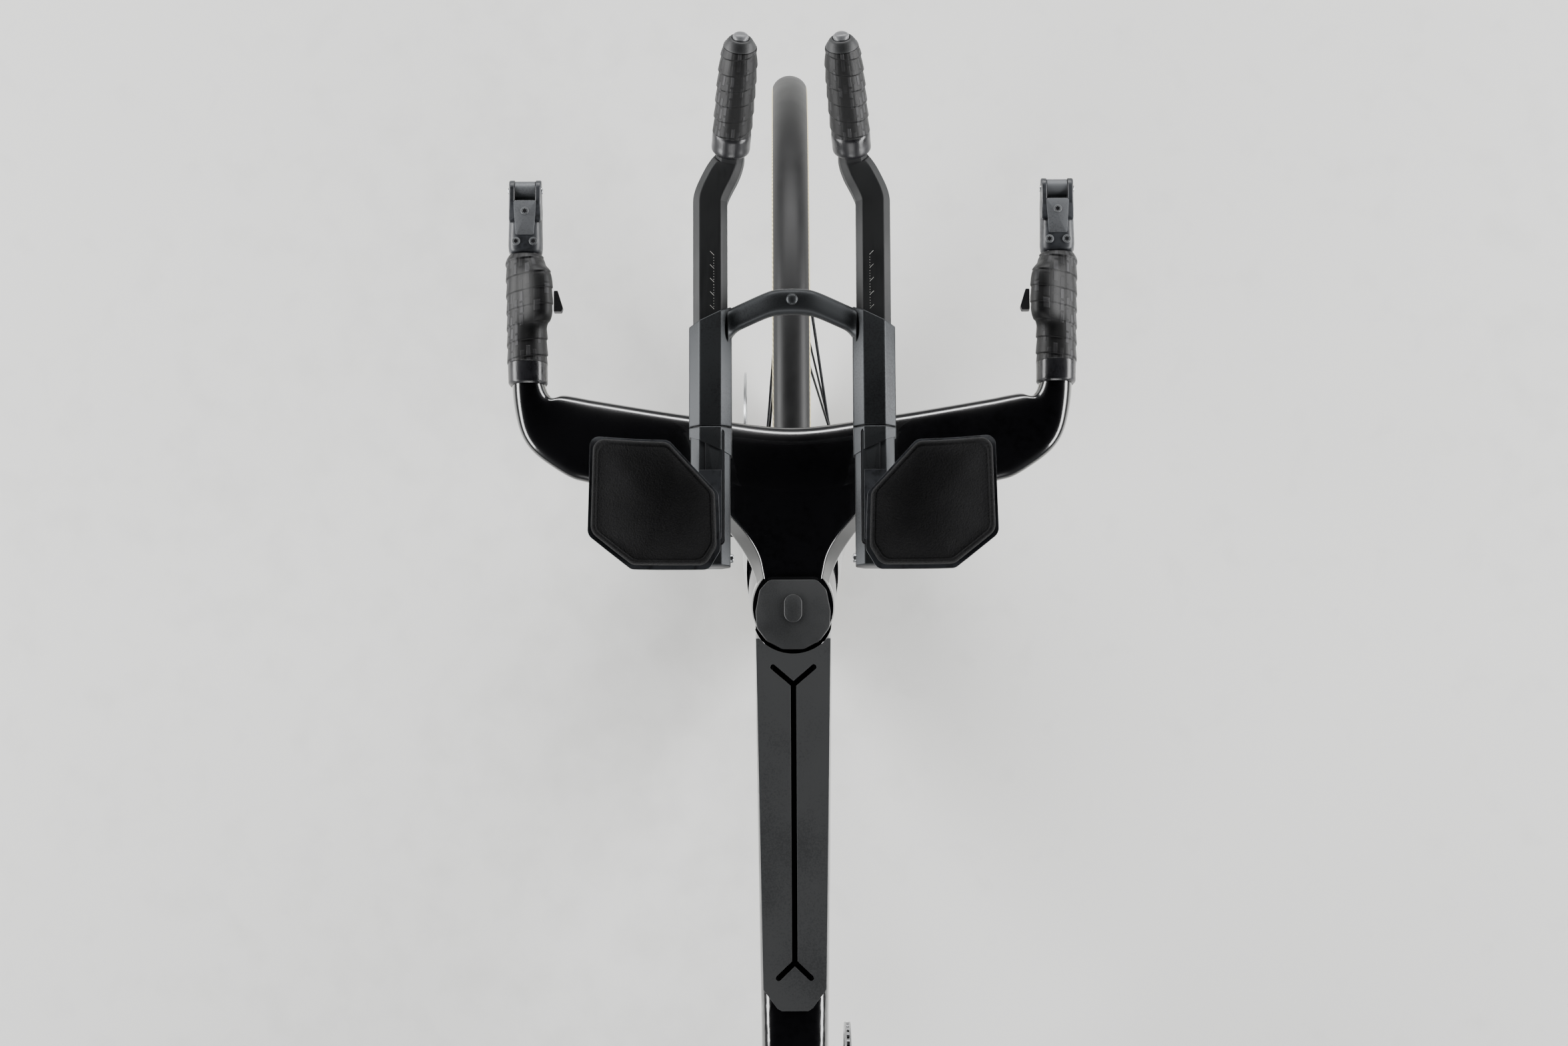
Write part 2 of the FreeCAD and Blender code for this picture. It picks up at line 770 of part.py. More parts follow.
frame_cuts = [
    round_bar(rear - Y * (stay_inner - 2), Y, wheel_hug, 2 * stay_inner - 4),
    round_bar(rear - Y * (d.rear_spacing / 2 + 20), Y, d.axle_radius + d.fit_gap, d.rear_spacing + 40),
    round_bar(crown - steer_up * 20, steer_up, d.steerer_radius + 2.5, 140),
    round_bar(crown - steer_up * 20, steer_up, d.bearing_radius + d.fit_gap,
              20 + d.body_gap + d.bearing_width),
    round_bar(head_top - steer_up * d.bearing_width, steer_up, d.bearing_radius + d.fit_gap, 30),
    round_bar(head_top, steer_up, d.recess_radius, 80),
    round_bar(bracket - Y * 60, Y, d.spindle_bearing_radius + d.fit_gap, 120),
    Part.makeBox(2 * half_base, 200, 100, Vector(-half_base, -100, deck)),
    seat_pocket,
    tray_room,
    wedge_room,
] + [round_bar(foot - boss_out * d.boss_depth, boss_out, d.boss_radius,
               d.boss_depth + 12) for foot in boss_feet]
node("main_frame", shaped("main_frame", frame_shape.cut(frame_cuts)))
print("frame built:", len(nodes), "nodes")


# Bearings: two on the steerer, two on the crank spindle
def ring(name, bore, outer, at, direction):
    return turned(name, [(f"{bore} + running_gap", "0"), (outer, "0"), (outer, "bearing_width"),
                         (f"{bore} + running_gap", "bearing_width")], at, direction)


shell_face = Y * (d.bracket_width / 2)
node("frame_bearings", group(
    "frame_bearings",
    ring("lower_headset", "steerer_radius", "bearing_radius", crown + steer_up * d.body_gap, steer_up),
    ring("upper_headset", "steerer_radius", "bearing_radius", head_top - steer_up * d.bearing_width, steer_up),
    ring("left_bracket_bearing", "spindle_radius", "spindle_bearing_radius", bracket + shell_face, Y * -1),
    ring("right_bracket_bearing", "spindle_radius", "spindle_bearing_radius", bracket - shell_face, Y)))

# Storage tray under the cover
tray_corner = Vector(tray_front - tray_length, -d.tray_width / 2, deck - d.tray_depth)
tray_outer = block("tray_outer", tray_length, "tray_width", "tray_depth", tray_corner)
tray_inner = block("tray_inner", f"{tray_length} - 2 * tray_wall", "tray_width - 2 * tray_wall", "tray_depth",
                   tray_corner + Vector(d.tray_wall, d.tray_wall, d.tray_wall))
node("storage_tray", cut("storage_tray", tray_outer, tray_inner))


# Storage cover: tapered panel, hollow front around the stem, slit with a fork at each end
def slot(first, last, width, depth):
    run = last - first
    straight = Part.makeBox(run.Length, width, depth)
    straight.Placement = Placement(first, Rotation(X, run)) * Placement(Vector(0, -width / 2, -depth / 2),
                                                                        Rotation())
    ends = [round_bar(at - Z * (depth / 2), Z, width / 2, depth) for at in (first, last)]
    return straight.multiFuse(ends)


cover_middle = deck_height - d.cover_thickness / 2
cover_front = deck_axis.x - d.recess_radius + 11.5
cover_nose = cover_rear + 15.5
panel = flat("cover_panel", [
    (f"{cover_front}", "-cover_width_front / 2"), (f"{cover_front}", "cover_width_front / 2"),
    (f"{cover_nose}", "cover_width_rear / 2"), (f"{cover_rear + 2}", "cover_width_rear * 0.28"),
    (f"{cover_rear}", "cover_width_rear * 0.21"), (f"{cover_rear}", "-cover_width_rear * 0.21"),
    (f"{cover_rear + 2}", "-cover_width_rear * 0.28"), (f"{cover_nose}", "-cover_width_rear / 2"),
], [], "cover_thickness", Placement(Vector(0, 0, cover_middle), Rotation()))
slit_front = Vector(deck_axis.x - d.recess_radius - 23, 0, cover_middle)
slit_rear = Vector(cover_rear + 35.5, 0, cover_middle)
slit_depth = 3 * d.cover_thickness
slit_ends = [(slit_front, slit_front + Vector(13, side * 15.2, 0)) for side in (-1, 1)]
slit_ends += [(slit_rear, slit_rear + Vector(-11.5, side * 12, 0)) for side in (-1, 1)]
slit = slot(slit_front, slit_rear, d.slit_width, slit_depth).multiFuse(
    [slot(first, last, d.slit_width, slit_depth) for first, last in slit_ends])
hollow = cylinder("cover_hollow", "recess_radius", "4 * cover_thickness",
                  deck_axis - Z * (2 * d.cover_thickness), Z)
node("storage_cover", cut("storage_cover", panel, hollow, shaped("cover_slit", slit)))

# Seatpost with a flat head, wedge clamp in front of it
post = loft([post_section(post_foot), post_section(post_top)])
post_head = prism(rounded([post_top + Vector(x, -20, 0) for x in (-17, 17)]
                          + [post_top + Vector(x, 20, 0) for x in (17, -17)], 5), Z * 14)
post_seat = post_top.z + 14
node("seatpost", shaped("seatpost", post.fuse(post_head)))
wedge_gap = d.wedge_size - 2 * d.fit_gap
wedge = block("wedge", "wedge_size - 2 * fit_gap", "wedge_size - 2 * fit_gap", "1.5 * wedge_size",
              wedge_at + seat_ahead * (1 + d.fit_gap) - Y * (wedge_gap / 2) - seat_up * 23.5, Rotation(Z,
                                                                                                       seat_up))
wedge_mid = wedge_at + seat_ahead * (1 + d.wedge_size / 2) - seat_up * 23.5
wedge_bore = cylinder("wedge_bore", "boss_radius + fit_gap", "4 * wedge_size", wedge_mid - seat_up * 5,
                      seat_up)
wedge_bolt = turned("wedge_bolt", [("0", "0"), ("boss_radius", "0"), ("boss_radius", "1.5 * wedge_size"),
                                   ("1.7 * boss_radius", "1.5 * wedge_size"), ("1.7 * boss_radius",
                                                                               "1.5 * wedge_size + 3"),
                                   ("0", "1.5 * wedge_size + 3")], wedge_mid, seat_up)
node("seatpost_clamp", group("seatpost_clamp", cut("clamp_wedge", wedge, wedge_bore), wedge_bolt))

# Saddle: one lofted body split into pad and shell, rails bent from rod
nose_x = bracket.x - d.saddle_setback
stations = ((3, 0.62, -11), (18, 0.92, -4), (60, 1.0, -1), (110, 1.2, -2))
wide_stations = ((160, 0.74, -1), (200, 0.95, 0), (228, 0.98, -1), (243, 0.72, -5))
saddle_wires = []
for run, wide, drop in stations:
    half = d.saddle_nose / 2 * wide
    saddle_wires.append((run, half, drop))
for run, wide, drop in wide_stations:
    half = d.saddle_width / 2 * wide
    saddle_wires.append((run, half, drop))
saddle_scale = d.saddle_length / 245
saddle_body = loft([
    section(Vector(nose_x - run * saddle_scale, 0, saddle_top + (drop - 34) / 2), Y, Z, half,
            (34 + drop) / 2, 2.4)
    for run, half, drop in saddle_wires])
split = saddle_top - d.saddle_foam
channel = slot(Vector(nose_x + 30, 0, split), Vector(nose_x - 0.68 * d.saddle_length, 0, split), 15, 120)
pad_room = Part.makeBox(400, 400, 100, Vector(nose_x - 350, -200, split))
shell_room = Part.makeBox(400, 400, 100, Vector(nose_x - 350, -200, split - 100))
rail_half = d.saddle_rail_spacing / 2
rail_route = [
    Vector(nose_x - 30, 11, split - 4), Vector(nose_x - 52, rail_half, saddle_rail_height),
    Vector(nose_x - 160, rail_half, saddle_rail_height), Vector(nose_x - 205, rail_half + 10, split - 4)]
saddle_rail = bent_rod(rail_route, 14, d.saddle_rail_radius)
rail_groove = bent_rod(rail_route, 14, d.saddle_rail_radius + d.fit_gap)
saddle_rails = Part.Compound([saddle_rail, mirror(saddle_rail)])
node("saddle_pad", shaped("saddle_pad", saddle_body.common(pad_room).cut(channel)))
shell_shape = saddle_body.common(shell_room).cut([channel, saddle_rail, mirror(saddle_rail)])
node("saddle_shell", shaped("saddle_shell", shell_shape))
node("saddle_rails", shaped("saddle_rails", saddle_rails))
clamp_corner = Vector(post_top.x - 18, -rail_half - 7, post_seat)
clamp_low = Part.makeBox(36, 2 * rail_half + 14, saddle_rail_height - post_seat - d.fit_gap, clamp_corner)
clamp_high = Part.makeBox(36, 2 * rail_half + 14, 6,
                          clamp_corner + Z * (saddle_rail_height - post_seat + d.fit_gap))
clamp_pair = [half_clamp.cut([rail_groove, mirror(rail_groove)]) for half_clamp in (clamp_low, clamp_high)]
node("saddle_clamp", shaped("saddle_clamp", Part.Compound(clamp_pair)))

doc.recompute()
print("saddle and seatpost built:", len(nodes), "nodes")

# Fork: crown, blades and dropouts joined, steerer on top
blade_run = front - crown
blade_line = Vector(blade_run).normalize()
blade_across = Vector(blade_line.z, 0, -blade_line.x) * -1
blade_chord = d.fork_blade_chord / 2
blade_thick = d.fork_blade_thickness / 2
leg_mid = d.fork_spacing / 2 + d.dropout_thickness / 2
crown_block = loft([
    section(crown + head_shift, steer_ahead, Y, head_reach, d.head_tube_width / 2 - 1, 2.6),
    section(crown + head_shift * 0.6 - steer_up * 26, steer_ahead, Y, head_reach * 0.88,
            d.head_tube_width / 2 + 7, 2.8),
    section(crown + blade_run * 0.17, steer_ahead, Y, blade_chord + 2, d.head_tube_width / 2 + 13, 3.0),
])
blade = loft([
    section(crown + blade_run * 0.08 + Y * 28, blade_across, Y, blade_chord, blade_thick, 2.2),
    section(crown + blade_run * 0.2 + Y * 31, blade_across, Y, blade_chord, blade_thick, 2.2),
    section(crown + blade_run * 0.5 + Y * 41, blade_across, Y, blade_chord * 0.93, blade_thick * 0.93, 2.2),
    section(crown + blade_run * 0.78 + Y * (leg_mid - 2.5), blade_across, Y, blade_chord * 0.76,
            blade_thick * 0.82, 2.2),
    section(crown + blade_run * 0.985 + Y * leg_mid, blade_across, Y, blade_chord * 0.5,
            d.dropout_thickness / 2, 2.2),
])
leg_end = round_bar(front + Y * (d.fork_spacing / 2), Y, 14, d.dropout_thickness)
stem_top = head_top + steer_up * (d.deck_rise - d.stem_cap_thickness - 3)
steerer = round_bar(crown - steer_up * 12, steer_up, d.steerer_radius, (stem_top - crown).Length + 12)
fork_shape = crown_block.multiFuse([blade, mirror(blade), leg_end, mirror(leg_end), steerer])
fork_shape = fork_shape.cut([
    round_bar(front - Y * (stay_inner - 1), Y, wheel_hug, 2 * stay_inner - 2),
    round_bar(crown + steer_up * 6, steer_up, d.steerer_bore, 200),
    round_bar(front - Y * (d.fork_spacing / 2 + 20), Y, d.axle_radius + d.fit_gap, d.fork_spacing + 40),
])
node("fork", shaped("fork", fork_shape))
print("fork built:", len(nodes), "nodes")

# Base bar: a wing and two horns that bend forward into the grips
bar_x = deck_axis.x + d.bar_reach
half_scale = d.bar_half_width / 198
wing_stations = (
    (0, 0, 0, d.bar_chord, d.bar_thickness, 0),
    (7, 78, 5, d.bar_chord, d.bar_thickness - 1, 0.1),
    (19, 155, 10, d.bar_chord - 2, d.bar_thickness - 2, 0.35),
)
bend_stations = (
    (24, 173, 19, d.bar_chord * 0.7 + d.grip_width * 0.3, d.bar_thickness - 2, 0.5),
    (30, 185.5, 34, (d.bar_chord + d.grip_width) / 2 - 2, d.bar_thickness - 1, 0.65),
    (43, 193.5, 58, d.grip_width + 6, d.grip_depth - 2, 0.85),
    (60, 197.5, 80, d.grip_width + 1, d.grip_depth, 1),
)
grip_stations = tuple((60 + step * d.grip_length / 4, 198 + 0.6 * step, 88, d.grip_width, d.grip_depth, 1)
                      for step in (1, 2, 3, 4))


def bar_section(station, side, grow=0.0):
    ahead, out, turn, chord, thick, lift = station
    angle = math.radians(turn)
    centre = Vector(bar_x + ahead, side * out * half_scale,
                    bar_height + lift * (grip_height - bar_height))
    chord_line = Vector(math.cos(angle), -side * math.sin(angle), 0)
    return ring_points(centre, chord_line, Z, chord / 2 + grow, thick / 2 + grow, 2.2)




# A smooth value between stations: a cubic whose slope at each one comes from its neighbours
def eased(keys, values, at):
    i = max(0, min(len(keys) - 2, sum(key <= at for key in keys) - 1))
    slopes = []
    for j in (i, i + 1):
        low, high = max(j - 1, 0), min(j + 1, len(keys) - 1)
        slopes.append((values[high] - values[low]) / (keys[high] - keys[low]))
    span = keys[i + 1] - keys[i]
    t = (at - keys[i]) / span
    return ((2 * t ** 3 - 3 * t ** 2 + 1) * values[i] + (t ** 3 - 2 * t ** 2 + t) * span * slopes[0]
            + (3 * t ** 2 - 2 * t ** 3) * values[i + 1] + (t ** 3 - t ** 2) * span * slopes[1])


# Evenly spaced rings from the right grip's end to the left one's; to the right, out and turn change sign
bar_stations = wing_stations + bend_stations + grip_stations
bar_keys = [0.0]
for before, after in zip(bar_stations, bar_stations[1:]):
    bar_keys.append(bar_keys[-1] + math.hypot(after[0] - before[0], after[1] - before[1]))
full_keys = [-key for key in reversed(bar_keys[1:])] + bar_keys
full_stations = [(ahead, -out, -turn, *rest) for ahead, out, turn, *rest in reversed(bar_stations[1:])]
full_stations += bar_stations
bar_rings = []
ring_count = 61
for step in range(ring_count):
    at = bar_keys[-1] * (2 * step / (ring_count - 1) - 1)
    bar_rings.append(bar_section([eased(full_keys, values, at) for values in zip(*full_stations)], 1))
bar_shape = skin(bar_rings)
node("base_bar", shaped("base_bar", bar_shape))
print("base bar built:", len(nodes), "nodes")

# Stem: a round puck on the steering axis and a neck that flares into the bar
puck = round_bar(head_top + steer_up * d.body_gap, steer_up, d.stem_radius, 60)
stem_deck = deck_height - d.stem_cap_thickness
stem_floor = head_top.z + 6
cap_front = deck_axis.x - d.stem_radius - 2 + d.stem_cap_length
neck = loft([
    level_section(deck_axis.x - 2, 2 * d.stem_radius - 8, stem_deck, stem_floor, 3.0),
    level_section(deck_axis.x + 30, 58, stem_deck + 2, stem_floor + 6, 3.0),
    level_section(deck_axis.x + 52, 78, stem_deck + 8, stem_floor + 12, 3.0),
    level_section(bar_x - 20, 128, bar_height + 9, bar_height - 9, 2.6),
])
stem_trim = Part.makeBox(200, 200, 100, Vector(deck_axis.x - 150, -100, stem_deck))
cap_bed = Part.makeBox(100, 200, 100, Vector(cap_front + d.fit_gap - 100, -100, stem_deck))
under_head = round_bar(head_top + steer_up * (d.body_gap - 80), steer_up, 90, 80)
stem_shape = puck.cut(stem_trim).fuse(neck).cut([
    under_head, cap_bed, bar_shape, round_bar(crown, steer_up, d.steerer_radius + d.fit_gap, 300)])
node("stem", shaped("stem", stem_shape))
print("stem built:", len(nodes), "nodes")

# Stem cap and its pill shaped plug
cap_corners = [(-40, 28), (-4, 28), (11, 25), (cap_front - deck_axis.x, 19.5)]
cap_outline = [Vector(deck_axis.x + x, y, stem_deck) for x, y in cap_corners]
cap_outline += [Vector(deck_axis.x + x, -y, stem_deck) for x, y in reversed(cap_corners)]
cap_round = round_bar(deck_axis - Z * d.stem_cap_thickness, Z, d.stem_radius, d.stem_cap_thickness)
cap_nose = Part.makeBox(40, 60, d.stem_cap_thickness, deck_axis - Vector(0, 30, d.stem_cap_thickness))
cap_round = cap_round.fuse(cap_nose)
plug_middle = deck_axis - Z * (d.stem_cap_thickness / 2)
plug_half = Vector((d.plug_length - d.plug_width) / 2, 0, 0)
plug_room = slot(plug_middle - plug_half, plug_middle + plug_half, d.plug_width, 3 * d.stem_cap_thickness)
cap_shape = prism(rounded(cap_outline, 3), Z * d.stem_cap_thickness).common(cap_round).cut(plug_room)
node("stem_cap", shaped("stem_cap", cap_shape))
plug_fit = d.plug_width - 2 * d.fit_gap
node("stem_cap_plug", shaped("stem_cap_plug", slot(plug_middle - plug_half, plug_middle + plug_half, plug_fit,
                                                   d.stem_cap_thickness - 2 * d.fit_gap)))

# Arm rails, sleeves and bridge: eight sided sections drawn about the extension's centre line
rail_y = d.rail_spacing / 2
rail_rear = bar_x - d.rail_setback
sleeve_rear = rail_rear + d.rail_length
sleeve_front = sleeve_rear + d.sleeve_length
rail_axis = Vector(0, rail_y, rail_height)


def eight(x, half, high, flat_half, corner=1.2):
    drop = half - flat_half
    corners = [(half, -high + drop), (half, high - drop), (flat_half, high), (-flat_half, high),
               (-half, high - drop), (-half, -high + drop), (-flat_half, -high), (flat_half, -high)]
    return rounded([rail_axis + Vector(x, across, up) for across, up in corners], corner)


flat_half = d.rail_flat / 2
extension_half = d.extension_width / 2
bore_half = extension_half + d.slide_gap
bore_high = d.extension_depth / 2 + d.slide_gap
rail_high = d.rail_depth / 2
rail_bore = prism(eight(rail_rear + 3, bore_half, bore_high, flat_half), X * 400)
rail_tube = prism(eight(rail_rear, d.rail_width / 2, rail_high, flat_half), X * (d.rail_length - d.fit_gap))
hood_length = d.sleeve_length / 4
hood = prism(eight(sleeve_rear - hood_length, d.sleeve_width / 2, rail_high + 1, flat_half),
             X * (hood_length - d.fit_gap))
hood_trim = Part.makeBox(60, 120, 80)
hood_trim.Placement = Placement(Vector(sleeve_rear - 17, rail_y, rail_height + rail_high + 1),
                                Rotation(Z, -28).multiply(Rotation(Y, -38))) * Placement(Vector(-60, -60,
                                                                                                -40),
                                                                                                Rotation())
riser = loft([
    section(Vector(bar_x + 5, rail_y, bar_height), X, Y, 27, 10, 2.2),
    section(Vector(bar_x - 2, rail_y, rail_height - 4), X, Y, 22, 10, 2.2),
])
sleeve_room = prism(eight(sleeve_rear - d.fit_gap, d.sleeve_width / 2 + d.fit_gap,
                          rail_high + 1 + d.fit_gap, flat_half),
                    X * d.sleeve_length)
rail_shape = rail_tube.multiFuse([hood.cut(hood_trim), riser]).cut([rail_bore, sleeve_room, bar_shape])
rail_pair = Part.Compound([rail_shape, mirror(rail_shape)])
node("arm_rails", shaped("arm_rails", rail_pair))

sleeve = prism(eight(sleeve_rear, d.sleeve_width / 2, rail_high + 1, flat_half), X * d.sleeve_length)
sleeve_trim = Part.makeBox(60, 120, 80)
sleeve_angle = math.degrees(math.atan2(d.sleeve_skew, d.sleeve_width))
sleeve_trim.Placement = Placement(Vector(sleeve_front - d.sleeve_skew / 2, rail_y, rail_height),
                                  Rotation(Z, sleeve_angle)) * Placement(Vector(0, -60, -40), Rotation())
sleeve = sleeve.cut(sleeve_trim)
bridge_mid = Vector(sleeve_front + 2, 0, rail_height + d.bridge_rise)


def bridge_section(y, x, width, low, high):
    corners = [(-width / 2, low), (width / 2, low), (width / 2, high - 3), (width / 2 - 3, high),
               (-width / 2 + 3, high), (-width / 2, high - 3)]
    return Part.makePolygon([Vector(x + across, y, up) for across, up in corners + corners[:1]])


bridge_inner = rail_y - d.sleeve_width / 2 + 2
bridge_wires = []
for share in (-1, -0.93, -0.84, -0.7, -0.5, -0.25, 0, 0.25, 0.5, 0.7, 0.84, 0.93, 1):
    fall = abs(share) ** 2.5
    flare = max(0, (abs(share) - 0.7) / 0.3) ** 2
    rise = d.bridge_rise * (1 - fall)
    bridge_wires.append(bridge_section(share * bridge_inner, bridge_mid.x - 13 * fall - 4 * flare,
                                       d.bridge_width * (1 + 0.35 * fall + 0.55 * flare),
                                       rail_height - 8 + rise, rail_height + 8 + rise))
bridge = loft(bridge_wires)
bridge_top = rail_height + 8 + d.bridge_rise
plug_hole = round_bar(Vector(bridge_mid.x, 0, bridge_top - 4), Z, d.bridge_plug_radius + d.fit_gap, 10)
clamp_shape = bridge.multiFuse([sleeve, mirror(sleeve)]).cut([rail_bore, mirror(rail_bore), plug_hole])
node("bridge_clamp", shaped("bridge_clamp", clamp_shape))
node("bridge_plug", cylinder("bridge_plug", "bridge_plug_radius", "4 - fit_gap",
                             Vector(bridge_mid.x, 0, bridge_top - 4 + d.fit_gap), Z))
print("rails and clamp built:", len(nodes), "nodes")

# Extensions: eight sided tube that turns in and up to a round tip
tip_rise = math.radians(d.grip_angle)
bend_start = Vector(sleeve_rear + d.extension_straight, rail_y, rail_height)
bend_end = bend_start + Vector(d.bend_run, -d.bend_inset, d.bend_rise)
tip_inward = bend_end.y - d.tip_spacing / 2
tip_line = Vector(math.cos(tip_rise), -tip_inward / d.tip_length, math.sin(tip_rise)).normalize()
tip_end = bend_end + tip_line * d.tip_length
tail = rail_rear + d.extension_tail
extension_high = d.extension_depth / 2


# Rings a little inside the eight sided section that change to the round one; share runs from 0 to 1
def morph_ring(centre, line, share):
    across = Z.cross(line).normalize()
    up = line.cross(across)
    wide = (extension_half - d.body_gap) * (1 - share) + d.tip_radius * share
    high = (extension_high - d.body_gap) * (1 - share) + d.tip_radius * share
    return ring_points(centre, across, up, wide, high, 3.4 - 1.4 * share)


# The bend is a cubic curve, tangent to the straight part and to the tip
pull = 0.4 * d.bend_run
curve_points = (bend_start, bend_start + X * pull, bend_end - tip_line * pull, bend_end)
rings = [morph_ring(bend_start - X * step, X, 0) for step in (20, 10, 0)]
for share in (0.25, 0.5, 0.75):
    rest = 1 - share
    weights = (rest ** 3, 3 * rest ** 2 * share, 3 * rest * share ** 2, share ** 3)
    slopes = (rest ** 2, 2 * rest * share, share ** 2)
    at = sum((point * weight for point, weight in zip(curve_points, weights)), Vector())
    line = sum(((curve_points[i + 1] - curve_points[i]) * slopes[i] for i in range(3)), Vector())
    rings.append(morph_ring(at, line.normalize(), share))
rings += [morph_ring(bend_end + tip_line * (d.tip_length * step / 9), tip_line, 1) for step in range(10)]
straight = prism(eight(tail, extension_half, extension_high, flat_half), X * (bend_start.x - 7 - tail))
extension = straight.fuse(skin(rings))

# Tape, finishing band, end cap and button on each tip
def coned(first, last, bore, at, length):
    return Part.makeCone(first, last, length, at, tip_line).cut(round_bar(at, tip_line, bore, length))


tip_bore = d.tip_radius + 2 * d.slide_gap
band_at = bend_end + tip_line * 5
tape_at = band_at + tip_line * d.tip_band_length
tape_run = (tip_end - tape_at).Length
tip_tape = coned(d.tape_start_radius, d.tape_end_radius, tip_bore, tape_at, tape_run - d.fit_gap)
tip_band = coned(d.tape_start_radius - 1, d.tape_start_radius - 0.4, tip_bore, band_at,
                 d.tip_band_length - d.fit_gap)
cap = Part.makeCone(d.tip_radius + 0.4, d.cap_front_radius, d.cap_length, tip_end, tip_line)
button_foot = tip_end + tip_line * (d.cap_length - 2 - d.button_travel)
cap = cap.cut(round_bar(button_foot - tip_line * d.button_travel, tip_line, d.button_radius + 0.4, 20))
button_side = round_bar(button_foot, tip_line, d.button_radius, d.button_height)
dome = Part.makeSphere(1.4 * d.button_radius,
                       button_foot + tip_line * (d.button_height - 1.4 * d.button_radius + 1.5))
button = button_side.fuse(dome.common(round_bar(button_foot, tip_line, d.button_radius, 20))).removeSplitter()
pieces = (("extension", extension), ("extension_tape", Part.Compound([tip_tape, tip_band])), ("shift_cap",
                                                                                              cap),
          ("shift_button", button))
for label, piece in pieces:
    node("left_" + label, shaped("left_" + label, piece))
    node("right_" + label, shaped("right_" + label, mirror(piece)))
print("extensions built:", len(nodes), "nodes")

# Base bar tapes: a sleeve on each grip with a bump over the hidden switch, and a finishing band
band_from = 60
tape_from = band_from + d.band_length
tape_to = 60 + d.grip_length


def grip_skin(first, last, grow):
    stations = []
    for run in (first, first * 0.67 + last * 0.33, first * 0.33 + last * 0.67, last):
        share = (run - 60) / d.grip_length
        stations.append((run, 198 + 2.4 * share, 88, d.grip_width, d.grip_depth, 1))
    return skin([bar_section(station, 1, grow) for station in stations])


grip_bore = grip_skin(band_from - 15, tape_to + 15, d.body_gap)
band_bore = grip_skin(band_from - 15, tape_from + 15, 2 * d.body_gap)
switch = Vector(bar_x + 125, half_scale * 199 - d.grip_width / 2 - 2, grip_height)
bump = loft([section(switch + X * run, Y, Z, wide, high, 2.2) for run, wide, high in
             ((-26, 2, 5), (-14, 7, 9), (0, 9, 11), (14, 8, 10), (26, 3, 6))])
paddle_room_half = Vector(d.paddle_length / 2 + 0.5, 0, d.paddle_height / 2 + 0.5)
paddle_face = switch.y - 9
paddle_out = paddle_face - 4
paddle_room = Part.makeBox(d.paddle_length + 1, 6 + d.paddle_travel, d.paddle_height + 1,
                           Vector(switch.x, paddle_face - 2, switch.z) - paddle_room_half)
sleeve_tape = grip_skin(tape_from, tape_to, d.tape_thickness).fuse(bump).cut([grip_bore, bar_shape,
                                                                              paddle_room])
band_tape = grip_skin(band_from, tape_from - d.fit_gap, d.tape_thickness - 0.6).cut([band_bore, bar_shape])
tapes = [sleeve_tape, band_tape]
node("bar_tapes", shaped("bar_tapes", Part.Compound(tapes + [mirror(item) for item in tapes])))
paddle_outline = [Vector(switch.x + x, y, switch.z - d.paddle_height / 2) for x, y in (
    (-d.paddle_length / 2, paddle_face + 3), (d.paddle_length / 2, paddle_face + 3),
    (d.paddle_length / 2, paddle_face), (-d.paddle_length / 2 + 3, paddle_out), (-d.paddle_length / 2,
                                                                                 paddle_out + 1))]
paddle = prism(rounded(paddle_outline, 0.8), Z * d.paddle_height)
node("left_shift_paddle", shaped("left_shift_paddle", paddle))
node("right_shift_paddle", shaped("right_shift_paddle", mirror(paddle)))
print("bar tapes built:", len(nodes), "nodes")

# Brake bodies on the grip ends, cover plate, pivot pin, screws
brake_y = half_scale * 200.5
brake_rear = bar_x + 60 + d.grip_length + 1
brake_z = grip_height


def brake_section(run, wide, low, high):
    centre = Vector(brake_rear + run, brake_y, (low + high) / 2)
    return section(centre, Y, Z, wide / 2, (high - low) / 2, 3.4)


body_low = brake_z - d.brake_height / 2
body_high = brake_z + d.brake_height / 2
brake_shape = loft([
    brake_section(0, d.brake_width - 3, body_low - 1, body_high),
    brake_section(d.brake_length * 0.25, d.brake_width, body_low - 1, body_high + 1),
    brake_section(d.brake_length * 0.7, d.brake_width, body_low + 2, body_high + 1),
    brake_section(d.brake_length * 0.92, d.brake_width - 1, body_low + 8, body_high),
    brake_section(d.brake_length, d.brake_width - 3, body_low + 10, body_high - 2),
])
pivot = Vector(brake_rear + d.brake_length - 9.5, brake_y, brake_z + 6)
hub_radius = 7.2
slot_half = d.brake_slot / 2
front_slot = Part.makeBox(60, d.brake_slot, 80, Vector(pivot.x - hub_radius - 1, brake_y - slot_half,
                                                       brake_z - 40))
low_slot = Part.makeBox(d.brake_length, d.brake_slot, 40,
                        Vector(brake_rear + 12, brake_y - slot_half, body_low - 40 + 8))
swing_slot = Part.makeBox(20, d.brake_slot, 20, Vector(pivot.x - hub_radius - 7, brake_y - slot_half,
                                                       pivot.z - 22))
hub_room = round_bar(Vector(pivot.x, brake_y - slot_half, pivot.z), Y, hub_radius + 1, d.brake_slot)
plate_front = pivot.x - hub_radius - 2
plate_rear = brake_rear + 13
plate_outline = [Vector(plate_front, brake_y + 8.2, body_high - 2), Vector(plate_rear, brake_y + 6.8,
                                                                           body_high - 2),
                 Vector(plate_rear, brake_y - 6.8, body_high - 2), Vector(plate_front, brake_y - 8.2,
                                                                          body_high - 2)]
plate_room = prism(rounded(plate_outline, 2), Z * 10)
brake_plate = prism(rounded(plate_outline, 2), Z * 2.6)
screw_spots = [(plate_front - 8, 0), (brake_rear + 8, 6.5), (brake_rear + 8, -6.5)]
screw_top = body_high + 1.6
screw_rooms = [round_bar(Vector(x, brake_y + y, screw_top - 3), Z, d.cover_screw_radius + d.fit_gap, 10)
               for x, y in screw_spots]
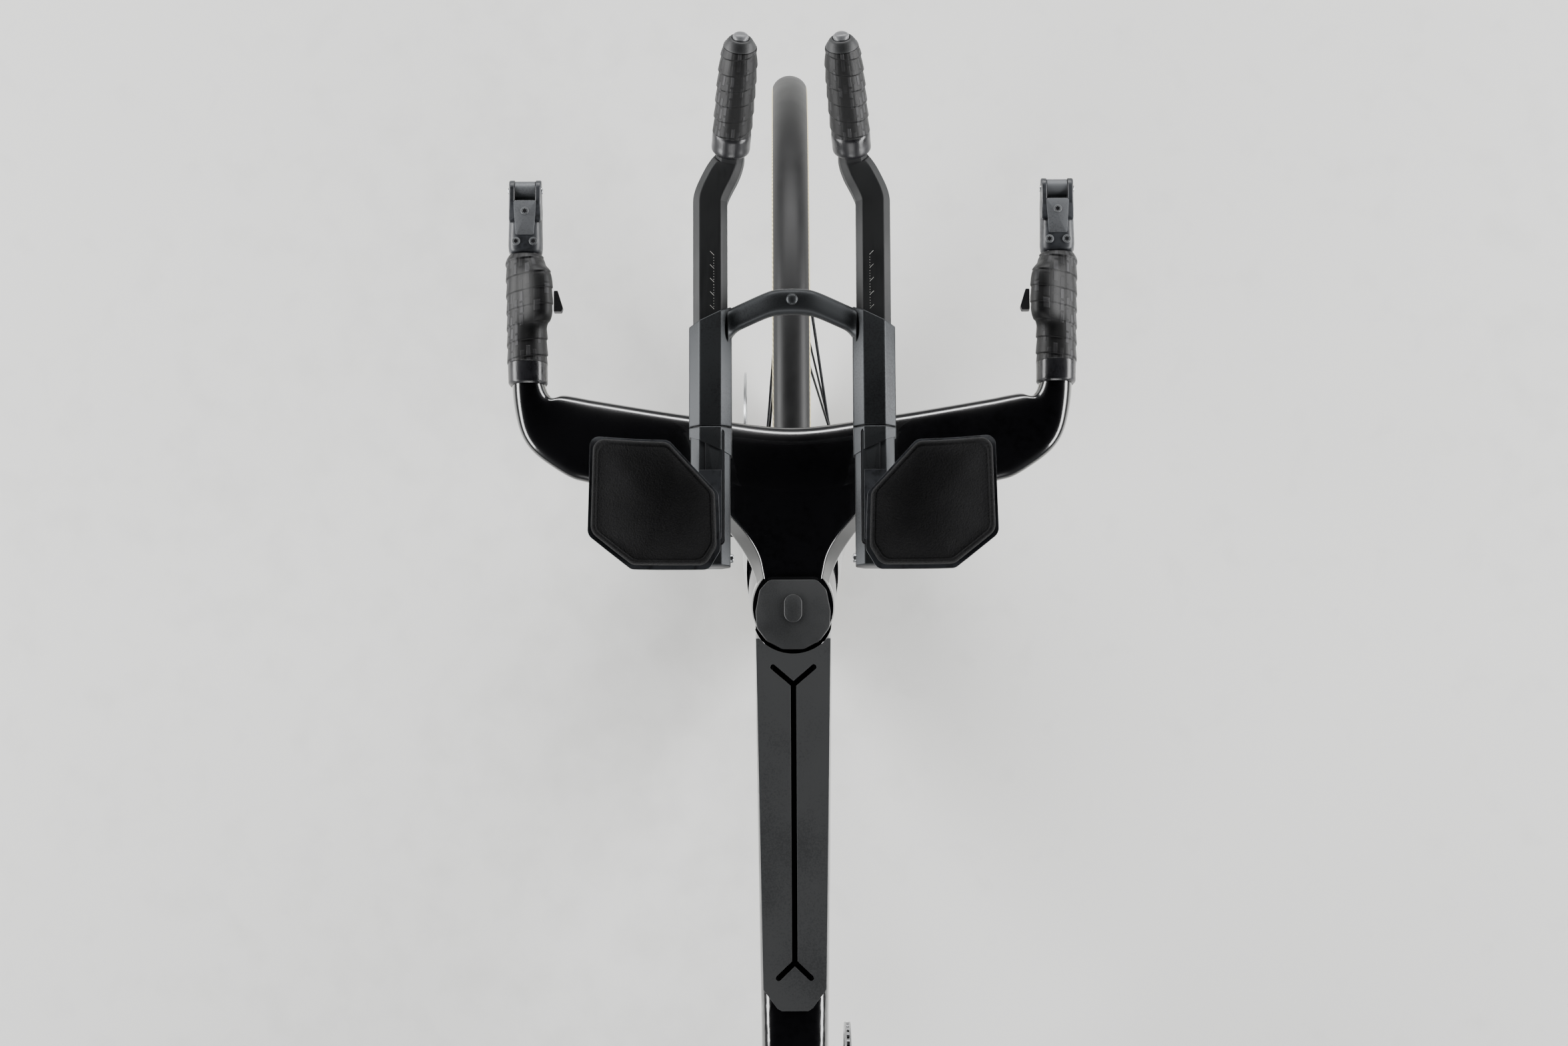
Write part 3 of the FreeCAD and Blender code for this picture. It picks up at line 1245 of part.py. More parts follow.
pin = round_bar(pivot - Y * (d.brake_width / 2 - 1), Y, d.lever_pin_radius, d.brake_width - 2)
brake_shape = brake_shape.cut([front_slot, low_slot, swing_slot, hub_room, plate_room, pin] + screw_rooms)
brake_plate = brake_plate.cut(screw_rooms)
brake_parts = [brake_shape, brake_plate, pin]
node("brake_bodies", shaped("brake_bodies",
                            Part.Compound(brake_parts + [mirror(item) for item in brake_parts])))
screws = []
for side in (1, -1):
    for index, (x, y) in enumerate(screw_spots):
        at = Vector(x, side * (brake_y + y), screw_top - 3 + d.fit_gap)
        head = cylinder(f"screw_{side}_{index}", "cover_screw_radius", "2.4", at, Z)
        drive = doc.addObject("Part::Prism", f"screw_drive_{side}_{index}")
        drive.Polygon = 6
        drive.setExpression("Circumradius", bound("cover_screw_radius * 0.5"))
        drive.Height = 4
        drive.Placement = Placement(at + Z * 1.2, Rotation())
        screws.append(cut(f"screw_{side}_{index}_head", head, drive))
node("brake_body_screws", group("brake_body_screws", *screws))
print("brake bodies built:", len(nodes), "nodes")

# Brake levers: a pivot barrel with a blade that hangs back under the grip
lever_half = d.lever_width / 2
lever_points = [pivot + Vector(-1, 0, -2), pivot + Vector(-5, 0, -d.lever_drop * 0.3),
                pivot + Vector(-d.lever_reach * 0.2, 0, -d.lever_drop * 0.58),
                pivot + Vector(-d.lever_reach * 0.5, 0, -d.lever_drop * 0.84),
                pivot + Vector(-d.lever_reach * 0.8, 0, -d.lever_drop * 0.98),
                pivot + Vector(-d.lever_reach, 0, -d.lever_drop)]
lever_thick = (5.5, 5, 4.2, 3.6, 3.2, 2.6)
lever_rings = []
for i, at in enumerate(lever_points):
    line = (lever_points[min(i + 1, 5)] - lever_points[max(i - 1, 0)]).normalize()
    lever_rings.append(section_points(at, Y, line.cross(Y), lever_half - 0.6, lever_thick[i], 2.8))
barrel = round_bar(pivot - Y * lever_half, Y, hub_radius, d.lever_width)
lever = skin(lever_rings).fuse(barrel).cut(
    round_bar(pivot - Y * 30, Y, d.lever_pin_radius + d.running_gap, 60))
node("left_brake_lever", shaped("left_brake_lever", lever))
node("right_brake_lever", shaped("right_brake_lever", mirror(lever)))
print("brake levers built:", len(nodes), "nodes")

# Arm cups and pads: a dished profile across the bike, cut to the outline seen from above
pad_rear = rail_rear - 2
cup_floor = rail_height + rail_high + d.cup_stand
pad_corners = ((1, 0.975), (0.99, 0.39), (0.58, 0.014), (0.145, 0), (0, 0.087), (0, 0.67), (0.245, 0.993))
dish = ((0, 0.1), (0.15, 0.02), (0.35, 0), (0.6, 0.12), (0.82, 0.5), (1, 1))


def pad_outline(margin, low, high):
    grow = 1 + 2 * margin / d.pad_width
    points = [Vector(pad_rear + d.pad_length * ((along_x - 0.5) * grow + 0.5),
                     d.pad_inner + d.pad_width * ((along_y - 0.5) * grow + 0.5),
                     low) for along_x, along_y in pad_corners]
    return prism(rounded(points, 7), Z * (high - low))


def dish_curve(base, crown_height):
    points = []
    for share, rise in dish:
        y = d.pad_inner - 8 + (d.pad_width + 16) * share
        dome = crown_height * math.sin(math.pi * share)
        points.append(Vector(pad_rear - 10, y, base + d.cup_rise * rise + dome))
    curve = Part.BSplineCurve()
    curve.interpolate(points)
    return curve


def dished(base, top, crown_height):
    low = dish_curve(base, 0)
    high = dish_curve(top, crown_height)
    sides = [Part.LineSegment(low.EndPoint, high.EndPoint), Part.LineSegment(high.StartPoint, low.StartPoint)]
    wire = Part.Wire([low.toShape(), sides[0].toShape(), high.toShape(), sides[1].toShape()])
    return Part.Face(wire).extrude(X * (d.pad_length + 20))


cup_top = cup_floor + d.cup_thickness
cup = dished(cup_floor, cup_top, 0).common(pad_outline(d.cup_margin, cup_floor - 20, cup_floor + 80))
foot = Part.makeBox(50, 16, d.cup_stand + 1.5, Vector(pad_rear + 20, rail_y - 8, rail_height + rail_high))
cup = cup.fuse(foot)
pad = dished(cup_top + d.fit_gap, cup_top + d.pad_thickness - 1.5, 1.5)
pad = pad.common(pad_outline(0, cup_floor - 20, cup_floor + 80))
pad_top = max(pad.Faces, key=lambda face: face.CenterOfMass.z)
pad = pad.makeFillet(4, pad_top.Edges)
node("arm_cups", shaped("arm_cups", Part.Compound([cup, mirror(cup)])))
node("arm_pads", shaped("arm_pads", Part.Compound([pad, mirror(pad)])))
print("arm pads built:", len(nodes), "nodes")


# Brake calipers: a block with a slot for the rotor, open towards the axle, and a lining on each side of it
def caliper(corner, turn, size, rotor_y, seat):
    length, width, height = size
    lining_thick = 3.4
    slot_half = d.rotor_thickness / 2 + d.body_gap + lining_thick
    bridge_thick = 8

    def placed(shape, y, along_x, up):
        shape.Placement = Placement(Vector(corner.x, y, corner.z), turn) * Placement(Vector(along_x, 0, up),
                                                                                     Rotation())
        return shape

    body = placed(Part.makeBox(length, width, height), corner.y, 0, 0)
    body = body.makeFillet(4,
                           [edge for edge in body.Edges if abs(edge.tangentAt(edge.FirstParameter).y) > 0.9])
    room = placed(Part.makeBox(length - bridge_thick + 5, 2 * slot_half, height + 20), rotor_y - slot_half,
                  -5, -10)
    linings = [placed(Part.makeBox(length / 2, lining_thick, height * 0.45), y, length * 0.2, height * 0.3)
               for y in (rotor_y - slot_half, rotor_y + slot_half - lining_thick)]
    return Part.Compound([body.cut([room, seat])] + linings)


# The front one lies behind the left blade, its length up the blade; the rear one between the left stays
leg_out = Vector(blade_line.z, 0, -blade_line.x)
front_corner = front - blade_line * (d.front_rotor_radius - 38) + leg_out * 12 + Y * (d.front_rotor_offset - 12)
leg_turn = Rotation(blade_line * -1, Y, leg_out, "XYZ")
front_caliper = caliper(front_corner, leg_turn, (50, 28, 32), d.front_rotor_offset, fork_shape)
node("front_brake_caliper", shaped("front_brake_caliper", front_caliper))
rear_corner = rear + Vector(d.rear_rotor_radius - 32, d.rear_rotor_offset - 12, -4)
rear_caliper = caliper(rear_corner, Rotation(), (46, 36, 34), d.rear_rotor_offset, nodes["main_frame"].Shape)
node("rear_brake_caliper", shaped("rear_brake_caliper", rear_caliper))

# Chain path: arcs on ring, lower jockey, upper jockey and cog, joined by straight runs
upper_at = rear + Vector(14, 0, -98)


def pitch_radius(teeth):
    return teeth * d.chain_pitch / math.tau


def flat_point(point):
    return complex(point.x, point.z)


def chain_wheels(angle):
    cage = math.radians(angle)
    lower_at = upper_at + Vector(math.cos(cage), 0, -math.sin(cage)) * d.cage_length
    return ((flat_point(bracket), pitch_radius(d.ring_teeth), -1), (flat_point(lower_at),
                                                                    pitch_radius(d.lower_teeth), -1),
            (flat_point(upper_at), pitch_radius(d.upper_teeth), 1), (flat_point(rear),
                                                                     pitch_radius(d.cog_teeth), -1))


# Each leg holds the wheel, the unit directions where the chain meets and leaves it, and the two run lengths
def chain_legs(angle):
    wheels = chain_wheels(angle)
    normals = []
    for i in range(4):
        here, radius, spin = wheels[i]
        there, next_radius, next_spin = wheels[(i + 1) % 4]
        gap = there - here
        share = (radius * spin - next_radius * next_spin) / abs(gap)
        unit = gap / abs(gap) * complex(math.cos(math.acos(share)), -math.sin(math.acos(share)))
        run = abs(gap + (next_radius * next_spin - radius * spin) * unit)
        normals.append((unit, run))
    legs = []
    for i in range(4):
        here, radius, spin = wheels[i]
        meet = normals[i - 1][0] * spin
        leave = normals[i][0] * spin
        turn = (spin * (math.atan2(leave.imag, leave.real) - math.atan2(meet.imag, meet.real))) % math.tau
        legs.append((here, radius, spin, meet, leave, turn, normals[i][1]))
    return legs


def chain_length(angle):
    return sum(radius * turn + run for _, radius, _, _, _, turn, run in chain_legs(angle))


# The cage swings until the chain is a whole even number of links
links = 2 * round(chain_length(d.cage_angle) / d.chain_pitch / 2)
low, high = d.cage_angle - 25, d.cage_angle + 25
for _ in range(50):
    middle = (low + high) / 2
    if chain_length(middle) > links * d.chain_pitch:
        high = middle
    else:
        low = middle
legs = chain_legs(middle)
lower_at = upper_at + Vector(math.cos(math.radians(middle)), 0,
                             -math.sin(math.radians(middle))) * d.cage_length


def chain_point(value, y=0.0):
    return Vector(value.real, y, value.imag)


def rotated(value, angle):
    return value * complex(math.cos(angle), math.sin(angle))


def chain_wire(offset, y):
    edges = []
    for i, (here, radius, spin, meet, leave, turn, run) in enumerate(legs):
        reach = radius - spin * offset
        ends = [chain_point(here + reach * unit, y) for unit in (meet, rotated(meet, spin * turn / 2), leave)]
        edges.append(Part.Arc(*ends).toShape())
        there, next_radius, next_spin, next_meet = legs[(i + 1) % 4][:4]
        target = chain_point(there + (next_radius - next_spin * offset) * next_meet, y)
        edges.append(Part.LineSegment(ends[2], target).toShape())
    return Part.Wire(edges)


# Roller places along the path, and for each wheel the turn of its first roller
rollers = []
phases = []
travelled = 0.0
for here, radius, spin, meet, leave, turn, run in legs:
    first = math.ceil(travelled / d.chain_pitch) * d.chain_pitch - travelled
    spot = rotated(meet, spin * first / radius)
    phases.append(math.atan2(spot.imag, spot.real))
    travel = first
    while travel < radius * turn + run - 1e-6:
        past = travel - radius * turn
        if past < 0:
            rollers.append(here + radius * rotated(meet, spin * travel / radius))
        else:
            rollers.append(here + radius * leave + past * leave * complex(0, spin))
        travel += d.chain_pitch
    travelled += radius * turn + run
inner_gap = 1.2
half_height = d.plate_height / 2
bands = []
for side in (-1, 1):
    y = -d.chain_line + (inner_gap if side > 0 else -inner_gap - d.plate_thickness)
    ring_face = Part.Face(chain_wire(half_height, y)).cut(Part.Face(chain_wire(-half_height, y)))
    bands.append(ring_face.extrude(Y * d.plate_thickness))
bushes = [round_bar(chain_point(at, -d.chain_line - inner_gap - d.plate_thickness / 2), Y, d.roller_radius,
                    2 * inner_gap + d.plate_thickness) for at in rollers[:links]]
chain = bands[0].multiFuse([bands[1]] + bushes)
node("chain", shaped("chain", chain))
print("chain built:", links, "links")


# Toothed wheels: round gullets on the pitch circle with straight sided teeth between them
def toothed(centre, teeth, phase, thickness, y):
    teeth = int(teeth)
    radius = pitch_radius(teeth)
    gullet = d.roller_radius + 0.35
    edges = []
    tip_radius = radius + 2.6
    for i in range(teeth):
        turn = phase + math.tau * i / teeth
        out = complex(math.cos(turn), math.sin(turn))
        hub = centre + radius * out
        arc = [hub + gullet * rotated(-out, angle) for angle in (1.05, 0, -1.05)]
        edges.append(Part.Arc(*[chain_point(at, y) for at in arc]).toShape())
        next_turn = turn + math.tau / teeth
        next_out = complex(math.cos(next_turn), math.sin(next_turn))
        middle_turn = turn + math.pi / teeth
        tips = [centre + tip_radius * complex(math.cos(middle_turn + step), math.sin(middle_turn + step))
                for step in (-0.7 / tip_radius, 0.7 / tip_radius)]
        next_start = centre + radius * next_out + gullet * rotated(-next_out, 1.05)
        corners = [arc[2]] + tips + [next_start]
        for first, last in zip(corners, corners[1:]):
            edges.append(Part.LineSegment(chain_point(first, y), chain_point(last, y)).toShape())
    return Part.Face(Part.Wire(edges)).extrude(Y * thickness)


def bored(shape, centre, radius):
    return shape.cut(round_bar(chain_point(centre, -200), Y, radius, 400))


ring_leg, lower_leg, upper_leg, cog_leg = legs
ring_thick = 2
ring_y = -d.chain_line - ring_thick / 2
chainring = bored(toothed(ring_leg[0], d.ring_teeth, phases[0], ring_thick, ring_y), ring_leg[0],
                  d.spindle_radius + 0.5)
node("chainring", shaped("chainring", chainring))
jockey_thick = 2
for label, leg, teeth, phase in (("upper_jockey", upper_leg, d.upper_teeth, phases[2]),
                                 ("lower_jockey", lower_leg, d.lower_teeth, phases[1])):
    wheel = toothed(leg[0], teeth, phase, jockey_thick, -d.chain_line - jockey_thick / 2)
    collar = round_bar(chain_point(leg[0], -d.chain_line - 3.6), Y, 8, 7.2)
    node(label, shaped(label, bored(wheel.fuse(collar), leg[0], 4 + d.running_gap)))

# Cassette: twelve cogs on a freehub body, the worked cog in the chain's plane
cog_counts = (11, 12, 13, 14, 15, 16, 17, 19, 21, 24, 27, 30)
worked = cog_counts.index(int(d.cog_teeth))
freehub_right = d.rear_spacing / 2 - d.body_gap
freehub_left = d.disc_right_bulge + 1 + d.body_gap
freehub = round_bar(Vector(rear.x, -freehub_right, rear.z), Y, d.hub_end_radius + 1,
                    freehub_right - freehub_left)
carrier_right = d.chain_line + worked * d.cog_step + 2
carrier_left = d.chain_line - (len(cog_counts) - 1 - worked) * d.cog_step - 2
carrier = round_bar(Vector(rear.x, -carrier_right, rear.z), Y, 17, carrier_right - carrier_left)
cogs = []
for index, teeth in enumerate(cog_counts):
    y = -d.chain_line - (worked - index) * d.cog_step - d.cog_thickness / 2
    phase = phases[3] if index == worked else 0.1 * index
    cogs.append(toothed(cog_leg[0], teeth, phase, d.cog_thickness, y))
cassette = freehub.multiFuse([carrier] + cogs)
cassette = bored(cassette, cog_leg[0], d.axle_radius + d.running_gap)
node("cassette", shaped("cassette", cassette))
print("gears built:", len(nodes), "nodes")


# A flat link between two round ends, in a plane across the bike
def strap(first, last, first_radius, last_radius, y, depth):
    base = last - first
    span = abs(base)
    base = base / span
    lean_angle = math.acos((first_radius - last_radius) / span)
    upper, lower = rotated(base, lean_angle), rotated(base, -lean_angle)
    points = [chain_point(at, y) for at in (first + upper * first_radius, last + upper * last_radius,
                                            last + base * last_radius, last + lower * last_radius,
                                            first + lower * first_radius, first - base * first_radius)]
    wire = Part.Wire([Part.LineSegment(points[0], points[1]).toShape(), Part.Arc(*points[1:4]).toShape(),
                      Part.LineSegment(points[3], points[4]).toShape(),
                      Part.Arc(points[4], points[5], points[0]).toShape()])
    return Part.Face(wire).extrude(Y * depth)


# Hanger and derailleur: knuckle, link block and the cage with its two pins
hanger_y = -d.rear_spacing / 2 - d.dropout_thickness - d.fit_gap
hanger_low = flat_point(rear) + complex(-10, -32)
hanger = strap(flat_point(rear), hanger_low, 13, 10, hanger_y - 6, 6)
node("derailleur_hanger", shaped("derailleur_hanger", bored(hanger, flat_point(rear),
                                                            d.axle_radius + d.fit_gap)))
cage_half = 5.2
cage_plate = 1.8
cage = []
for y in (-d.chain_line - cage_half - cage_plate, -d.chain_line + cage_half):
    cage.append(strap(upper_leg[0], lower_leg[0], 13, 12, y, cage_plate))
for leg in (upper_leg, lower_leg):
    cage.append(round_bar(chain_point(leg[0], -d.chain_line - cage_half - 1), Y, 4, 2 * cage_half + 2))
cage_shape = cage[0].multiFuse(cage[1:])
knuckle_y = hanger_y - 6 - d.fit_gap
b_knuckle = round_bar(chain_point(hanger_low, knuckle_y - 14), Y, 12, 14)
cage_face = -d.chain_line - cage_half - cage_plate
p_knuckle = round_bar(chain_point(upper_leg[0], cage_face - 20), Y, 14, 20)
link_start = chain_point(hanger_low + complex(2, -4), knuckle_y - 13)
link_end = chain_point(upper_leg[0] + complex(-2, 4), cage_face - 12)
link_line = (link_end - link_start).normalize()
link_side = link_line.cross(X).normalize()
link = loft([section(at, X, link_side, 10, 8, 3.0) for at in (link_start, (link_start + link_end) * 0.5,
                                                              link_end)])
derailleur = b_knuckle.multiFuse([link, p_knuckle])
node("derailleur_body", shaped("derailleur_body", Part.Compound([derailleur, cage_shape])))
print("derailleur built:", len(nodes), "nodes")

# Cranks: the right arm carries the spindle and the ring's seat, the left arm is clamped on the spindle
right_end = flat_point(bracket) + complex(0, -d.crank_length)
left_end = flat_point(bracket) + complex(0, d.crank_length)
arm_face = d.crank_inner_face
right_arm = strap(flat_point(bracket), right_end, 19, 14, -arm_face - d.crank_thickness, d.crank_thickness)
ring_seat = round_bar(chain_point(flat_point(bracket), -arm_face - 1), Y, 36,
                      arm_face + 1 - d.chain_line - ring_thick / 2)
spindle = round_bar(chain_point(flat_point(bracket), -arm_face - 2), Y, d.spindle_radius,
                    2 * arm_face + d.crank_thickness + 2)
spindle_bore = round_bar(chain_point(flat_point(bracket), -arm_face + 4), Y, d.spindle_radius - 3,
                         3 * arm_face)
right_crank = right_arm.multiFuse([ring_seat, spindle]).cut(spindle_bore)
left_arm = strap(flat_point(bracket), left_end, 19, 14, arm_face, d.crank_thickness)
left_crank = bored(left_arm, flat_point(bracket), d.spindle_radius + d.fit_gap)
node("right_crank", shaped("right_crank", right_crank))
node("left_crank", shaped("left_crank", left_crank))

# Pedals turn on spindles fixed in the arms
arm_out = arm_face + d.crank_thickness
pedal_inner = 6
pins = []
for label, end, side in (("right_pedal", right_end, -1), ("left_pedal", left_end, 1)):
    at = chain_point(end, side * arm_out)
    pins.append(turned(label + "_pin", [("0", "0"), ("8", "0"), ("8", f"{pedal_inner} - 1"),
                                        ("pedal_pin_radius", f"{pedal_inner} - 1"),
                                        ("pedal_pin_radius", f"{pedal_inner} + pedal_width"),
                                        ("0", f"{pedal_inner} + pedal_width")], at, Y * side))
    foot = at + Y * (side * pedal_inner)
    plan = [(-0.5, 0.06), (-0.36, 0.9), (-0.14, 1), (0.3, 1), (0.5, 0.72), (0.5, 0.2), (0.2, 0)]
    body = prism(rounded([foot + Vector(x * d.pedal_length, side * y * d.pedal_width, -d.pedal_thickness * 0.3)
                          for x, y in plan], 6), Z * (d.pedal_thickness * 0.6))
    tube = round_bar(foot, Y * side, d.pedal_thickness / 2, d.pedal_width * 0.92)
    window = Part.makeBox(d.pedal_length * 0.22, d.pedal_width * 0.4, 60,
                          foot + Vector(-d.pedal_length * 0.4,
                                        side * d.pedal_width * 0.5 - d.pedal_width * 0.2, -30))
    bore = round_bar(foot - Y * (side * 20), Y * side, d.pedal_pin_radius + d.running_gap, d.pedal_width + 40)
    node(label, shaped(label, body.fuse(tube).cut([bore, window])))
node("pedal_spindles", group("pedal_spindles", *pins))

# Check every feature, then write each node's file
doc.recompute()
for feature in doc.Objects:
    if "Invalid" in feature.State or "Error" in feature.State:
        raise RuntimeError("feature not built: " + feature.Label)
for label, feature in nodes.items():
    if feature.Shape.isNull() or not feature.Shape.isValid():
        raise RuntimeError("bad shape: " + label)
os.makedirs("parts", exist_ok=True)
for label, feature in nodes.items():
    feature.Shape.exportStep(f"parts/{label}.step")
print("nodes written:", len(nodes))
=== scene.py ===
import math
import bpy
import bmesh
import numpy as np
from mathutils import Matrix, Vector


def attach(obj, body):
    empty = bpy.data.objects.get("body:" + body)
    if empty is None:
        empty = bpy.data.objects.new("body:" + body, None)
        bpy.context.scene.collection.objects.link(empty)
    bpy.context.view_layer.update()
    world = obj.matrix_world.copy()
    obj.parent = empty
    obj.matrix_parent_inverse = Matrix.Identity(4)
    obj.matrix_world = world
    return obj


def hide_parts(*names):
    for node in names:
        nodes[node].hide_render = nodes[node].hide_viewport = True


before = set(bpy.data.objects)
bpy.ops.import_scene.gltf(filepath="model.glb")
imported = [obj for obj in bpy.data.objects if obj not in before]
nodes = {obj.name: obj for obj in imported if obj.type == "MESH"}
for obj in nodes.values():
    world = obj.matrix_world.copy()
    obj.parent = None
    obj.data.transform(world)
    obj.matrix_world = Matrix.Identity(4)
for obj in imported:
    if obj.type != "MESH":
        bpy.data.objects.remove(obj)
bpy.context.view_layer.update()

mm = 0.001
print("frame loaded:", len(nodes), "nodes")


# Colours are sRGB hex, turned to linear
def hexLinear(code):
    channels = np.array([int(code[i:i + 2], 16) for i in (1, 3, 5)]) / 255
    linear = np.where(channels <= 0.04045, channels / 12.92, ((channels + 0.055) / 1.055) ** 2.4)
    return (*linear.tolist(), 1.0)


# Adds one shader node with its settings and gives back one of its outputs
# An input given a socket is linked, any other value is set; `ramp` places and colours the ends of a colour ramp
def addNode(tree, kind, inputs=None, ramp=(), out=0, **settings):
    made = tree.nodes.new("ShaderNode" + kind)
    for key, value in settings.items():
        setattr(made, key, value)
    for key, value in (inputs or {}).items():
        if isinstance(value, bpy.types.NodeSocket):
            tree.links.new(value, made.inputs[key])
        else:
            made.inputs[key].default_value = value
    for end, (place, code) in enumerate(ramp):
        made.color_ramp.elements[end].position = place
        made.color_ramp.elements[end].color = hexLinear(code)
    return made.outputs[out] if made.outputs else None


# A material with one Principled shader; `build` adds the other nodes to its tree and gives back the shader's inputs
def makeMaterial(name, build):
    material = bpy.data.materials.new(name)
    material.use_nodes = True
    tree = material.node_tree
    tree.nodes.clear()
    shader = addNode(tree, "BsdfPrincipled", build(tree))
    addNode(tree, "OutputMaterial", {"Surface": shader})
    return material


# The finish most pieces share: clouds shift colour and gloss, and a fine grain gives the relief
# Real blasting and tool grain is 0.1 mm or so and wouldn't show, so a fine grain is drawn at about 1 mm
def makeFinish(name, dark, light, rough, cloudMm, grainMm, depthMm, stretch=(1, 1, 1), **sockets):
    def build(tree):
        place = addNode(tree, "TexCoord", out="Object")
        drawn = addNode(tree, "Mapping", {"Vector": place, "Scale": stretch})
        clouds = addNode(tree, "TexNoise", {"Vector": place, "Scale": 1000 / cloudMm, "Detail": 5.0})
        grain = addNode(tree, "TexNoise", {"Vector": drawn, "Scale": 1000 / grainMm, "Detail": 3.0})
        mixed = addNode(tree, "Math", {0: clouds, 1: grain}, operation="ADD")
        tone = addNode(tree, "ValToRGB", {"Fac": mixed}, ((0.7, dark), (1.0, light)))
        gloss = addNode(tree, "MapRange", {"Value": clouds, "From Min": 0.3, "From Max": 0.7, "To Min": rough[0],
                                           "To Max": rough[1]})
        relief = addNode(tree, "Bump", {"Height": grain, "Distance": depthMm * mm, "Strength": 0.6})
        return {"Base Color": tone, "Roughness": gloss, "Normal": relief,
                **{key.replace("_", " "): value for key, value in sockets.items()}}
    return makeMaterial(name, build)


# Sprayed and polished lacquer over carbon: deep black with sharp reflections and a faint orange peel
lacquer = makeFinish("polished lacquer on carbon", "#060607", "#0b0b0d", (0.16, 0.26), 70, 5, 0.012,
                     IOR=1.5, Coat_Weight=1.0, Coat_Roughness=0.04)
# Moulded carbon under a matt clear coat: dark satin with fibres that run along the bike
mattCarbon = makeFinish("moulded carbon, matt clear coat", "#131415", "#1c1d1e", (0.5, 0.62), 45, 3, 0.02,
                        stretch=(0.1, 1, 1), IOR=1.5, Specular_IOR_Level=0.35)
# Bead blasted and anodised aluminium: satin grey or black that brightens on its bevels
satinGrey = makeFinish("bead blasted anodised aluminium, dark grey", "#2c2d2f", "#37393b", (0.4, 0.5), 60, 1.2, 0.02,
                       Metallic=0.65)
satinBlack = makeFinish("bead blasted anodised aluminium, black", "#151516", "#1f1f21", (0.34, 0.44), 50, 1.2, 0.02,
                        Metallic=0.85)
plateGrey = makeFinish("bead blasted anodised aluminium, mid grey", "#5a5c5f", "#6a6c6f", (0.5, 0.6), 60, 1.2, 0.03,
                       Metallic=0.5)
# Silicone pressed in an eroded tool: matt grey black
coverRubber = makeFinish("pressed silicone rubber", "#2b2c2d", "#363738", (0.55, 0.68), 60, 1.1, 0.05, IOR=1.43)
# Nylon from an eroded tool: matt black, slightly pebbled
capNylon = makeFinish("moulded nylon, eroded tool", "#222324", "#2c2d2e", (0.5, 0.62), 30, 1.0, 0.05, IOR=1.5)
blackNylon = makeFinish("moulded glass filled nylon", "#141415", "#1e1e20", (0.4, 0.54), 30, 1.3, 0.04, IOR=1.5)
# Chopped carbon pressed in a mould: flakes of lighter and darker grey under a matt skin
forgedCarbon = makeFinish("pressed chopped carbon, matt", "#1c1d1f", "#34363a", (0.34, 0.5), 9, 4, 0.02, IOR=1.5)
# Black button rubber, also used as painted shade in the gaps round the rail strips and in the screw sockets
buttonRubberAndShade = makeFinish("moulded button rubber, also painted shade", "#141415", "#1c1c1e", (0.3, 0.42), 20, 0.9, 0.02, IOR=1.43)
# The shift button is black; this grey colour is a painted reflection of light from above and ahead
buttonPaintedReflection = makeFinish("moulded button, grey as painted reflection", "#626365", "#727375", (0.3, 0.4), 20, 0.9, 0.02, IOR=1.5)
# Zinc flake coating: dull grey that keeps its tone in any light
zincFlake = makeFinish("zinc flake coated steel", "#5d5f61", "#737577", (0.46, 0.58), 12, 1.0, 0.02, Metallic=0.5)
# Shrunk vinyl: black and glossy with faint ripples
bandVinyl = makeFinish("shrunk vinyl band", "#151517", "#1f1f22", (0.24, 0.38), 12, 4, 0.1, stretch=(1, 3, 1), IOR=1.52)
# Steel: ground, nickel plated or blackened, each a little uneven in gloss
brightSteel = makeFinish("ground stainless steel", "#9a9c9e", "#b9bbbd", (0.22, 0.34), 30, 1.0, 0.01, Metallic=1.0)
platedSteel = makeFinish("nickel plated steel", "#7b7c7e", "#a0a1a3", (0.22, 0.34), 25, 1.5, 0.01, Metallic=1.0)
blackSteel = makeFinish("black oxide steel", "#161617", "#242426", (0.36, 0.46), 20, 1.0, 0.01, Metallic=1.0)
# Screen printed ink: dull white with thin spots
whiteInk = makeFinish("screen printed white ink", "#a9a9a5", "#cfcfcb", (0.5, 0.6), 10, 1.0, 0.01)


# Rubber tread with a cotton casing below its edge: soft black with a dusty bloom, then a cream wall
tyreLook = {"hub": (501.955, 339.0), "ring": 325.0, "radius": 14.0, "half": 15.3, "steps": (240, 49),
            "treadEdge": 17.0, "edgeFade": 0.4, "tread": ("#0f0f10", "#1a1a1b"), "wall": ("#a3966c", "#d2c7a0")}


